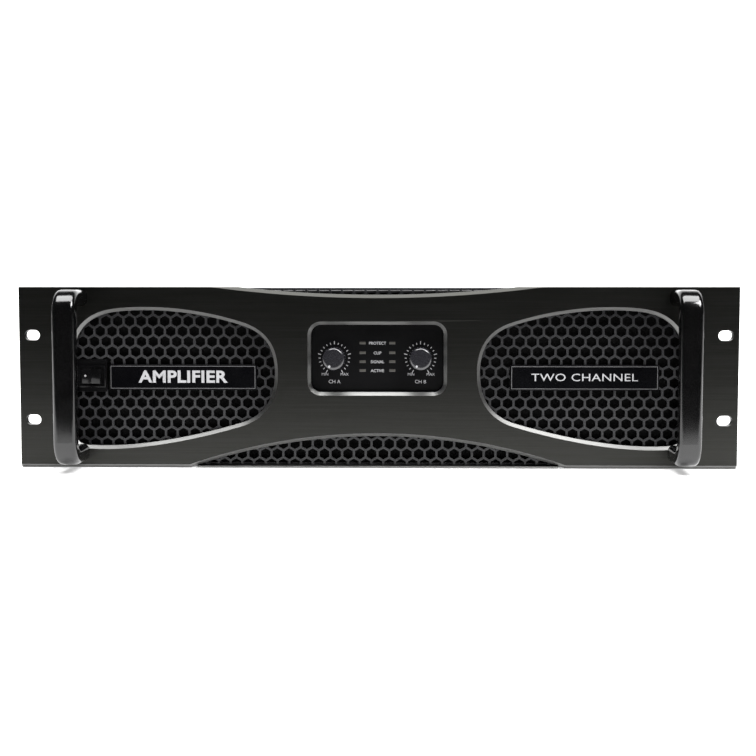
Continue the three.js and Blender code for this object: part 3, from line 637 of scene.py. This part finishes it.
sheet = comb(4 - 28 * PITCH, 8.8 - 2 * ROW, 56, 10)
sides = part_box("grille")
for point, normal in (
    (sides[0], (-1, 0, 0)), (sides[0], (0, 0, -1)), (sides[1], (1, 0, 0)), (sides[1], (0, 0, 1)),
):
    whole = sheet.verts[:] + sheet.edges[:] + sheet.faces[:]
    bmesh.ops.bisect_plane(sheet, geom=whole, plane_co=point, plane_no=normal, clear_outer=True)


def covered(face):
    centre = face.calc_center_median() / MM
    on_controls = abs(centre.x) < 53.5 and 43 < centre.z < 105
    on_switch = centre.x < -181 and 52 < centre.z < 72
    return on_controls or on_switch


bmesh.ops.delete(sheet, geom=[f for f in sheet.faces if covered(f)], context="FACES")
grown = bmesh.ops.extrude_face_region(sheet, geom=sheet.faces[:])["geom"]
for v in (g for g in grown if isinstance(g, bmesh.types.BMVert)):
    v.co.y += SHEET * MM
bmesh.ops.recalc_face_normals(sheet, faces=sheet.faces)
piece("honeycomb", sheet, mesh_black, ["grille"])

# %% The folded lip that closes its top edge over the case; it also fills the top holes with painted shade
lip = bmesh.new()
add_block(lip, (436, 5, 1.6), (0, 10.8, 120.6), 0.3)
piece("grille_lip_and_shade", lip, mesh_black)

# %% [markdown]
# ## Power switch
# A snap-in rocker switch lies on its side in a plain area of the grille. Its bezel is a block whose front
# is inset and pushed in to make the well, and the rocker is a shallow V that tips in it.

# %% Make the switch
SWITCH = {"x": -193.8, "z": 61.5}
surround = bmesh.new()
add_block(surround, (29.6, 2.3, 22), (-198.3, 7.2, 62), 0.3)
piece("switch_surround", surround, panel_black)


def add_well(bm, depth, inset):
    """Sinks a well into the front face of the newest block."""
    facing = [f for f in bm.faces if f.normal.y < -0.99]
    front = min(facing, key=lambda f: (f.calc_center_median().y, -f.calc_area()))
    bmesh.ops.inset_region(bm, faces=[front], thickness=inset * MM)
    bmesh.ops.translate(bm, verts=front.verts, vec=(0, 0.25 * MM, 0))
    sunk = bmesh.ops.extrude_face_region(bm, geom=[front])["geom"]
    bmesh.ops.delete(bm, geom=[front], context="FACES_ONLY")
    for v in (g for g in sunk if isinstance(g, bmesh.types.BMVert)):
        v.co.y += depth * MM


body = bmesh.new()
add_block(body, (19, 1.6, 15), (SWITCH["x"], 5.2, SWITCH["z"]), 0.5)
add_well(body, 1.0, 1.4)
add_block(body, (16.6, 22, 12.8), (SWITCH["x"], 17.1, SWITCH["z"]), 0.4)
piece("switch_bezel", body, switch_gloss, ["power_switch_body"])

tip = bmesh.new()
outline = [(-6.6, -2.3), (0, -1.1), (6.6, -2.3), (6.6, 0.4), (2.5, 4.2), (-2.5, 4.2), (-6.6, 0.4)]
turn = math.radians(-10)
corners = []
for u, v in outline:
    across = u * math.cos(turn) - v * math.sin(turn)
    along = u * math.sin(turn) + v * math.cos(turn)
    corners.append(tip.verts.new(place(SWITCH["x"] + across, 6 + along, SWITCH["z"] - 5.1)))
lower = tip.faces.new(corners)
raised = bmesh.ops.extrude_face_region(tip, geom=[lower])["geom"]
for v in (g for g in raised if isinstance(g, bmesh.types.BMVert)):
    v.co.z += 10.2 * MM
bmesh.ops.recalc_face_normals(tip, faces=tip.faces)
bevel(tip, sharp_edges(tip, 12), 0.5, 3)
piece("rocker_cap", tip, switch_gloss, ["power_rocker"], "rocker")
# A small white dot on the rocker, in the print finish.
mark = bmesh.new()
add_rod(mark, 1.4, 4.65, 5.05, SWITCH["x"] - 4.4, SWITCH["z"] + 0.3, 20, 0.05)
piece("rocker_white_dot", mark, print_white, (), "rocker")

# %% [markdown]
# ## Handles
# A rack handle is a bar bent to a wide U and bolted on from behind. A rounded section is extruded out of
# the panel, spun through a right angle, extruded down, spun again and extruded back, as the bar itself is
# bent.

# %% Bend a handle
def bar_section(bm, x, y, z, width, depth, radius):
    """The bar's outline where it leaves the panel, standing across X and Z."""
    matrix = moved(x, y, z) @ FACING_REAR @ Matrix.Diagonal((width * MM, depth * MM, 1, 1))
    square = bmesh.ops.create_grid(bm, x_segments=1, y_segments=1, size=0.5, matrix=matrix)["verts"]
    bmesh.ops.bevel(
        bm, geom=square, offset=radius * MM, affect="VERTICES", segments=6, profile=0.5, material=-1
    )
    return bm.faces[:]


def extruded_by(bm, faces, step):
    grown = bmesh.ops.extrude_face_region(bm, geom=faces)["geom"]
    bmesh.ops.delete(bm, geom=faces, context="FACES_ONLY")
    verts = [g for g in grown if isinstance(g, bmesh.types.BMVert)]
    bmesh.ops.translate(bm, verts=verts, vec=[s * MM for s in step])
    return [g for g in grown if isinstance(g, bmesh.types.BMFace)]


def bent(bm, faces, centre, angle):
    made = bmesh.ops.spin(
        bm, geom=faces, cent=place(*centre), axis=(1, 0, 0), angle=angle, steps=14, use_duplicate=False
    )["geom_last"]
    return [g for g in made if isinstance(g, bmesh.types.BMFace)]


def handle(name, node, x):
    low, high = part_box(node)
    top, bottom = high.z / MM, low.z / MM
    reach = (FRONT - low.y) / MM
    width, depth, bend = (high.x - low.x) / MM, 11.0, 10.5
    run = reach - depth / 2 - bend
    bm = bmesh.new()
    end = bar_section(bm, x, -0.3, top - depth / 2, width, depth, 3.6)
    for section in end:
        section.copy()
    end = extruded_by(bm, end, (0, -run + 0.3, 0))
    end = bent(bm, end, (x, -run, top - depth / 2 - bend), math.radians(90))
    end = extruded_by(bm, end, (0, 0, -(top - bottom - depth - 2 * bend)))
    end = bent(bm, end, (x, -run, bottom + depth / 2 + bend), math.radians(90))
    extruded_by(bm, end, (0, run - 0.3, 0))
    bmesh.ops.remove_doubles(bm, verts=bm.verts, dist=0.005 * MM)
    bmesh.ops.holes_fill(bm, edges=[e for e in bm.edges if len(e.link_faces) == 1])
    bmesh.ops.recalc_face_normals(bm, faces=bm.faces)
    return piece(name, bm, handle_coat, [node])


for label in ("left", "right"):
    low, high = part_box("handle_" + label)
    handle("grab_bar_" + label, "handle_" + label, (low.x + high.x) / 2 / MM)

# %% [markdown]
# ## Nameplates
# Each nameplate is a thin gloss plate with a fine pale line just inside its edge. The line is a flat frame
# made by insetting a rectangle once, keeping the ring around it and raising it a little.

# %% Lettering
def add_text(bm, words, size, x, y, z, depth=0.12, spacing=1.0, rear=False, widen=1.0, weight=0.0):
    text = bpy.data.curves.new("words", "FONT")
    text.body = words
    text.size = size * MM
    text.align_x = "CENTER"
    text.align_y = "CENTER"
    text.space_character = spacing
    text.resolution_u = 3
    text.offset = weight * MM
    text.extrude = depth / 2 * MM
    holder = bpy.data.objects.new("words", text)
    bpy.context.scene.collection.objects.link(holder)
    bpy.context.view_layer.update()
    mesh = holder.evaluated_get(bpy.context.evaluated_depsgraph_get()).to_mesh()
    turned = Matrix.Rotation(math.pi, 4, "Z") @ FACING_FRONT if rear else FACING_FRONT
    mesh.transform(moved(x, y, z) @ turned @ Matrix.Diagonal((widen, 1, 1, 1)))
    bm.from_mesh(mesh)
    bpy.data.objects.remove(holder)
    bmesh.ops.remove_doubles(bm, verts=bm.verts, dist=0.001 * MM)


def add_line_frame(bm, x, y, z, width, height, line):
    matrix = moved(x, y, z) @ FACING_REAR @ Matrix.Diagonal((width * MM, height * MM, 1, 1))
    made = bmesh.ops.create_grid(bm, x_segments=1, y_segments=1, size=0.5, matrix=matrix)["verts"]
    face = made[0].link_faces[0]
    ring = bmesh.ops.inset_region(
        bm, faces=[face], thickness=line * MM, use_boundary=True, use_even_offset=True
    )["faces"]
    bmesh.ops.delete(bm, geom=[face], context="FACES")
    raised = bmesh.ops.extrude_face_region(bm, geom=ring)["geom"]
    for v in (g for g in raised if isinstance(g, bmesh.types.BMVert)):
        v.co.y -= 0.15 * MM
    bmesh.ops.recalc_face_normals(bm, faces=bm.faces)


NAMES = {"left": ("AMPLIFIER", 11.2, 1.12, 0.35), "right": ("TWO CHANNEL", 7.2, 1.3, 0.0)}
for label, (words, size, widen, weight) in NAMES.items():
    low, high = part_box("nameplate_" + label)
    x = (low.x + high.x) / 2 / MM
    plate = bmesh.new()
    add_block(plate, (100, 2, 17.2), (x, 5, MIDDLE), 0.35, 3)
    piece("name_plate_" + label, plate, gloss_black, ["nameplate_" + label])
    border = bmesh.new()
    add_line_frame(border, x, 4.05, MIDDLE, 98.2, 15.4, 0.45)
    piece("name_border_" + label, border, border_grey)
    letters = bmesh.new()
    add_text(letters, words, size, x, 3.98, MIDDLE, 0.1, 1.05, widen=widen, weight=weight)
    piece("name_words_" + label, letters, print_white)

# %% [markdown]
# ## Control panel
# A matt black plate carries the level scales, the lamp windows and their words. The scales are twenty-one
# short strokes, copied round each knob. All of it is screen printing, so it stands only a tenth of a
# millimetre proud.

# %% Make the plate and its printing
KNOB_X = 29.1
LAMP_ROWS = {84.2: "PROTECT", 77.6: "CLIP", 71.6: "SIGNAL", 65.6: "ACTIVE"}

face = bmesh.new()
add_block(face, (104, 2, 58), (0, 7.3, CONTROL_Z), 0.3)
piece("control_face", face, panel_black, ["control_panel"])

PRINT_Y = 6.27
printing = bmesh.new()
for side, letter in ((-1, "A"), (1, "B")):
    x = side * KNOB_X
    for i in range(21):
        angle = math.radians(-150 + 15 * i)
        long = 0.6 if i % 5 else 1.0
        turned = moved(x, PRINT_Y, CONTROL_Z) @ Matrix.Rotation(angle, 4, "Y")
        outward = Matrix.Translation((0, 0, (9.4 + long) * MM))
        stroke = Matrix.Diagonal((0.5 * MM, 0.1 * MM, 2.2 * long * MM, 1))
        bmesh.ops.create_cube(printing, size=1, matrix=turned @ outward @ stroke)
    add_text(printing, "MIN", 2.6, x - 6.4, PRINT_Y, 63.0)
    add_text(printing, "MAX", 2.6, x + 6.8, PRINT_Y, 63.0)
    add_text(printing, "CH " + letter, 3.4, x, PRINT_Y, 58.0)
for z, word in LAMP_ROWS.items():
    add_text(printing, word, 2.7, 0, PRINT_Y, z - 0.2, weight=0.03)
piece("control_print", printing, print_grey)

# %% Lamp windows
for side, letter in ((-1, "a"), (1, "b")):
    lamps = bmesh.new()
    for z in LAMP_ROWS:
        add_block(lamps, (4.4, 2.4, 1.9), (side * 10, 7.35, z), 0.35, 3)
    add_block(lamps, (6, 3, 24.6), (side * 10, 10.1, 74.9), 0.4)
    piece("lamp_strip_" + letter, lamps, lens_grey, ["light_pipe_" + letter])

# %% [markdown]
# ## Knobs
# A knob is turned: a flat face with a rounded rim, a slightly tapered side with fine grip grooves, and a
# white dot near its edge. The grooves come from drawing in every other column of the side.

# %% Make the knobs
for side, letter in ((-1, "a"), (1, "b")):
    x = side * KNOB_X
    knob = bmesh.new()
    profile = [
        (0, -7.9), (5.4, -7.9), (6.1, -7.85), (6.6, -7.68), (7.0, -7.38), (7.28, -6.95), (7.44, -6.45),
        (7.5, -5.9), (7.6, 2.5), (7.75, 3.2), (7.75, 5.2), (7.5, 5.5), (3.4, 5.5), (3.4, 2.0), (0, 2.0),
    ]
    add_turned(knob, profile, x, CONTROL_Z, 72)
    for v in knob.verts:
        u, w = v.co.x / MM - x, v.co.z / MM - CONTROL_Z
        radius = math.hypot(u, w)
        column = round(math.degrees(math.atan2(w, u)) / 5)
        if column % 2 and 7.45 < radius < 7.65:
            v.co.x -= u / radius * 0.22 * MM
            v.co.z -= w / radius * 0.22 * MM
    piece("level_knob_" + letter, knob, knob_black, ["gain_knob_" + letter], "gain_" + letter)
    dot = bmesh.new()
    add_rod(dot, 1.5, -8.0, -7.7, x - 2.7, CONTROL_Z - 4.9, 20, 0.05)
    piece("level_dot_" + letter, dot, print_white, (), "gain_" + letter)

# %% [markdown]
# ## Softened copies of the CAD's own pieces
# The case, sockets, posts and other fittings already have the right shape, with edges as sharp as a
# drawing's. A folded sheet or a moulding never has those. Each is copied, its loose triangles are merged
# into whole faces, and its sharp edges are rounded by a fraction of a millimetre, so they catch the light.
# The flat sheets of the case stay flat right up to their slots.

# %% Soften and refinish
def softened(node, name, material, width=0.3, body="chassis", segments=2, flat_over=400):
    bm = bmesh.new()
    bm.from_mesh(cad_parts[node].data)
    bmesh.ops.remove_doubles(bm, verts=bm.verts, dist=0.002 * MM)
    bmesh.ops.dissolve_limit(
        bm, angle_limit=math.radians(0.5), use_dissolve_boundaries=False, verts=bm.verts, edges=bm.edges
    )
    bevel(bm, sharp_edges(bm, 30), width, segments)
    return piece(name, bm, material, [node], body, flat_over)


# Dust filter behind the grille, near black, so it also serves as painted shade inside the case.
softened("dust_filter", "foam_sheet_shade", foam_black_shade, 0.4)
softened("chassis_pan", "case_pan", chassis_black, 0.5, flat_over=12)
softened("top_cover", "case_cover", chassis_black, 0.6, segments=3, flat_over=12)
softened("rear_panel", "case_back", chassis_black, 0.25, flat_over=12)
softened("post_block", "terminal_block", connector_black, 0.35)
softened("mains_inlet", "inlet_shell", connector_black, 0.25)
softened("breaker_body", "breaker_shell", connector_black, 0.2)
for letter in "ab":
    softened("input_socket_" + letter, "input_shell_" + letter, connector_black, 0.2)
    softened("output_socket_" + letter, "output_shell_" + letter, connector_black, 0.2)
    softened("fan_frame_" + letter, "fan_housing_" + letter, fan_black, 0.4)
    softened("fan_rotor_" + letter, "fan_blades_" + letter, fan_black, 0.25, "rotor_" + letter)
for i in range(1, 5):
    finish_of = black_gloss if i % 2 == 0 else red_gloss
    softened(f"post_cap_{i}", f"terminal_cap_{i}", finish_of, 0.3, f"cap_{i}")

# %% [markdown]
# ## Finger guards
# A real guard is bent from bright wire: rings, crossed by spokes that end in eyes under the fan's
# screws. Each ring is a small circle spun about the fan's axis.

# %% Make the guards
FAN = {"x": 140, "z": 60, "pitch": 71.5}


def add_ring(bm, radius, wire, x, y, z, steps=72, sides=10):
    matrix = moved(x + radius, y, z)
    loop = bmesh.ops.create_circle(bm, segments=sides, radius=wire / 2 * MM, matrix=matrix)["verts"]
    edges = list({e for v in loop for e in v.link_edges})
    bmesh.ops.spin(
        bm, geom=loop + edges, cent=place(x, y, z), axis=(0, 1, 0), angle=2 * math.pi, steps=steps,
        use_merge=True,
    )


def add_wire(bm, start, end, wire, sides=10):
    a, b = place(*start), place(*end)
    turn = (b - a).to_track_quat("Z", "Y").to_matrix().to_4x4()
    bmesh.ops.create_cone(
        bm, cap_ends=True, segments=sides, radius1=wire / 2 * MM, radius2=wire / 2 * MM, depth=(b - a).length,
        matrix=Matrix.Translation((a + b) / 2) @ turn,
    )


for side, letter in ((-1, "a"), (1, "b")):
    x, z, y = side * FAN["x"], FAN["z"], REAR_MM + 1.5
    guard = bmesh.new()
    for radius in (13, 19.5, 26, 32.5, 38):
        add_ring(guard, radius, 1.6, x, y, z)
    for sx, sz in ((1, 1), (1, -1), (-1, -1), (-1, 1)):
        ex, ez = x + sx * FAN["pitch"] / 2, z + sz * FAN["pitch"] / 2
        reach = (FAN["pitch"] / 2 - 3.6) / (FAN["pitch"] / 2)
        inner = 13 / (FAN["pitch"] / 2 * math.sqrt(2))
        centre = (x + (ex - x) * inner, y - 0.6, z + (ez - z) * inner)
        add_wire(guard, centre, (x + (ex - x) * reach * 0.99, y - 0.6, z + (ez - z) * reach * 0.99), 1.6)
        add_ring(guard, 3.4, 1.5, ex, y - 0.6, ez, 28, 8)
    bmesh.ops.remove_doubles(guard, verts=guard.verts, dist=0.002 * MM)
    bmesh.ops.recalc_face_normals(guard, faces=guard.faces)
    piece("wire_guard_" + letter, guard, bright_wire, ["fan_guard_" + letter])

# %% [markdown]
# ## Screws
# The case is held with small pan-head screws. One head is turned from a profile and given a six-sided
# socket, and the same shape is used all over.

# %% One screw head, facing rear, up or sideways
def add_screw(bm, at, facing, size=5.6):
    """A pan head with a hexagonal socket. Facing is the direction the head looks in."""
    head = bmesh.new()
    r, h = size / 2, size * 0.36
    rows = [(r, 0), (r, h * 0.45), (r * 0.9, h * 0.82), (r * 0.66, h)]
    loops = []
    for radius, height in rows:
        matrix = Matrix.Translation((0, 0, height * MM))
        loops.append(bmesh.ops.create_circle(head, segments=24, radius=radius * MM, matrix=matrix)["verts"])
    for radius, height in ((r * 0.42, h), (r * 0.42, h * 0.3)):
        matrix = Matrix.Translation((0, 0, height * MM))
        loops.append(bmesh.ops.create_circle(head, segments=24, radius=radius * MM, matrix=matrix)["verts"])
        for v in loops[-1]:
            angle = (math.atan2(v.co.y, v.co.x) % (math.pi / 3)) - math.pi / 6
            v.co.xy *= math.cos(math.pi / 6) / math.cos(angle)
    for one, two in zip(loops, loops[1:]):
        edges = {e for v in one + two for e in v.link_edges if all(u in one or u in two for u in e.verts)}
        rings = [e for e in edges if (e.verts[0] in one) == (e.verts[1] in one)]
        bmesh.ops.bridge_loops(head, edges=rings)
    bmesh.ops.contextual_create(head, geom=[e for e in head.edges if all(v in loops[-1] for v in e.verts)])
    bmesh.ops.contextual_create(head, geom=[e for e in head.edges if all(v in loops[0] for v in e.verts)])
    bmesh.ops.recalc_face_normals(head, faces=head.faces)
    turn = Vector(facing).to_track_quat("Z", "Y").to_matrix().to_4x4()
    head.transform(moved(*at) @ turn)
    mesh = bpy.data.meshes.new("head")
    head.to_mesh(mesh)
    head.free()
    bm.from_mesh(mesh)
    bpy.data.meshes.remove(mesh)


# %% Put the screws in
rear_screws = bmesh.new()
for x in (-212, -110, 0, 110, 212):
    for z in (6, 113):
        add_screw(rear_screws, (x, REAR_MM, z), (0, 1, 0))
piece("rear_screws", rear_screws, screw_black)

side_screws = bmesh.new()
for side in (-1, 1):
    for y in (40, 140, 240, 350):
        add_screw(side_screws, (side * 221.8, y, 109), (side, 0, 0))
piece("cover_screws", side_screws, screw_black)

guard_screws = bmesh.new()
for side in (-1, 1):
    for sx in (-1, 1):
        for sz in (-1, 1):
            at = (side * FAN["x"] + sx * FAN["pitch"] / 2, REAR_MM + 2.0, FAN["z"] + sz * FAN["pitch"] / 2)
            add_screw(guard_screws, at, (0, 1, 0), 6.6)
piece("guard_screws", guard_screws, zinc)

fitting_screws = bmesh.new()
for x in (85, 53, 12, -20):
    for side in (-1, 1):
        add_screw(fitting_screws, (x + side * 9.5, REAR_MM + 2.4, 82 - side * 12), (0, 1, 0), 4.6)
for side in (-1, 1):
    add_screw(fitting_screws, (-72 + side * 20, REAR_MM + 2.9, 40), (0, 1, 0), 5.2)
    add_screw(fitting_screws, (-4 + side * 37.5, REAR_MM + 5.2, 36), (0, 1, 0), 4.6)
piece("fitting_screws", fitting_screws, screw_black)

# %% [markdown]
# ## Rear printing and contacts
# Plain words name the fittings on the back. The tips of the four posts are bright metal, made together as
# one small piece.

# %% Words on the back
labels = bmesh.new()
for words, x, z, size in (
    ("INPUT A", 85, 101.5, 3.4), ("INPUT B", 53, 101.5, 3.4), ("OUTPUT A", 12, 101.5, 3.4),
    ("OUTPUT B", -20, 101.5, 3.4), ("SPEAKERS", -4, 52.5, 3.2), ("MAINS", -72, 21.5, 3.4),
    ("BREAKER", -72, 97.5, 3.2), ("STEREO    BRIDGE", 69, 33.5, 2.8), ("MODE", 69, 51, 3.2),
):
    add_text(labels, words, size, x, REAR_MM + 0.02, z, 0.1, rear=True)
piece("rear_words", labels, print_white)

# %% Bright metal at the terminals
metal = bmesh.new()
for i in range(4):
    x = -4 + (1.5 - i) * 19
    add_turned(metal, [(2.15, REAR_MM + 22), (2.15, REAR_MM + 22.4), (0, REAR_MM + 22.4)], x, 36, 24)
piece("post_tips", metal, nickel)

# %% [markdown]
# ## The CAD nodes that stay
# Boards, heatsinks, shafts and the transformer keep their CAD shape, because only slots and holes show
# them. Each still gets its real finish.

# %% Refinish them
KEPT = {
    "heatsink_": extruded, "amp_board_": board_green, "supply_board": board_green, "input_board": board_green,
    "control_board": board_green, "transistor_bar_": epoxy_black, "rectifier": epoxy_black,
    "gain_shaft_": zinc, "gain_pot_": zinc, "transformer_plate": zinc, "transformer_bolt": zinc,
    "mode_switch_body": zinc, "mode_slider": connector_black, "breaker_button": red_gloss,
}


def refinish(node, material):
    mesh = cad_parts[node].data
    mesh.materials.clear()
    mesh.materials.append(material)


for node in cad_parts:
    for start, material in KEPT.items():
        if node.startswith(start):
            refinish(node, material)
    if node.startswith("capacitor_"):
        refinish(node, sleeve_finish(node))
refinish("transformer", tape)

# %% [markdown]
# ## Stage, light and camera
# The unit stands on a pale floor that curves up behind it. Mirror-like surfaces only see the floor as far
# as a line a little way in front, as if a dark card lay there, so the lower part of the face mirrors the
# floor and the upper part mirrors the dark room. One wide soft light hangs above and slightly in front, and
# a smaller one to the right picks out the rims of the knobs. The room behind is white to the camera and
# nearly dark to everything else. The camera is in front, a little above and to the right.

# %% Floor
def pale():
    material = bpy.data.materials.new("pale floor")
    material.use_nodes = True
    shader = material.node_tree.nodes["Principled BSDF"]
    shader.inputs["Base Color"].default_value = (0.86, 0.86, 0.86, 1)
    shader.inputs["Roughness"].default_value = 0.9
    shader.inputs["Specular IOR Level"].default_value = 0.1
    shader.inputs["Emission Color"].default_value = (1, 1, 1, 1)
    shader.inputs["Emission Strength"].default_value = 0.45
    return material


def sweep_floor(name, line):
    """A line of (y, z) points swept 12 m wide."""
    ground = bmesh.new()
    points = [ground.verts.new((-6, y, z)) for y, z in line]
    edges = [ground.edges.new(pair) for pair in zip(points, points[1:])]
    swept = bmesh.ops.extrude_edge_only(ground, edges=edges)["geom"]
    bmesh.ops.translate(ground, verts=[g for g in swept if isinstance(g, bmesh.types.BMVert)], vec=(12, 0, 0))
    bmesh.ops.recalc_face_normals(ground, faces=ground.faces)
    for f in ground.faces:
        if f.normal.z < -0.01 or (abs(f.normal.z) <= 0.01 and f.normal.y > 0):
            f.normal_flip()
    mesh = bpy.data.meshes.new(name)
    ground.to_mesh(mesh)
    ground.free()
    mesh.materials.append(white_floor)
    made = bpy.data.objects.new(name, mesh)
    bpy.context.scene.collection.objects.link(made)
    return made


white_floor = pale()
EDGE, GROUND, COVE = -0.45, -0.0003, 1.5
turns = [math.radians(7.5 * i) for i in range(13)]
cove = [(2.5 + COVE * math.sin(turn), COVE * (1 - math.cos(turn)) + GROUND) for turn in turns]
sweep_floor("floor", [(EDGE, GROUND), *cove, (4.0, 5)])
apron = sweep_floor("apron", [(-6, GROUND), (EDGE, GROUND)])
apron.visible_glossy = False
print("floor mirrored from y", EDGE)

# %% Lights
def area(name, at, aim, size, power):
    data = bpy.data.lights.new(name, "AREA")
    data.shape = "RECTANGLE"
    data.size, data.size_y = size
    data.energy = power
    lamp = bpy.data.objects.new(name, data)
    lamp.location = at
    lamp.rotation_euler = (Vector(aim) - Vector(at)).to_track_quat("-Z", "Y").to_euler()
    bpy.context.scene.collection.objects.link(lamp)
    return lamp


area("overhead", (0, -0.5, 2.2), (0, 0, 0), (2.4, 1.3), 95)
area("side light", (1.0, -0.9, 1.3), (0, -0.19, 0.06), (0.8, 0.6), 30)
area("backdrop wash", (0, 1.2, 2.6), (0, 4.0, 1.0), (5, 1.5), 190)

print(len(bpy.data.lights), "lamps")

# %% World
ROOM = 0.04
world = bpy.data.worlds.new("studio")
bpy.context.scene.world = world
world.use_nodes = True
sky = world.node_tree.nodes["Background"]
sky.inputs["Color"].default_value = (1, 1, 1, 1)
ray = world.node_tree.nodes.new("ShaderNodeLightPath")
seen = world.node_tree.nodes.new("ShaderNodeMapRange")
seen.inputs["To Min"].default_value = ROOM
world.node_tree.links.new(ray.outputs["Is Camera Ray"], seen.inputs["Value"])
world.node_tree.links.new(seen.outputs["Result"], sky.inputs["Strength"])

# %% Camera
data = bpy.data.cameras.new("camera")
camera = bpy.data.objects.new("camera", data)
bpy.context.scene.collection.objects.link(camera)
DISTANCE, TURN, RISE, FIELD = 900, math.radians(1.24), math.radians(4.1), 507.7
level = DISTANCE * math.cos(RISE)
aim = place(0, 0, MIDDLE)
camera.location = place(level * math.sin(TURN), -level * math.cos(TURN), MIDDLE + DISTANCE * math.sin(RISE))
camera.rotation_euler = (aim - camera.location).to_track_quat("-Z", "Y").to_euler()
data.sensor_width = 36
data.lens = 36 * DISTANCE / FIELD
data.shift_x = 0.001
data.clip_start = 0.05
bpy.context.scene.camera = camera
bpy.context.scene.view_settings.view_transform = "Standard"
print("lens", round(data.lens, 1), "mm")
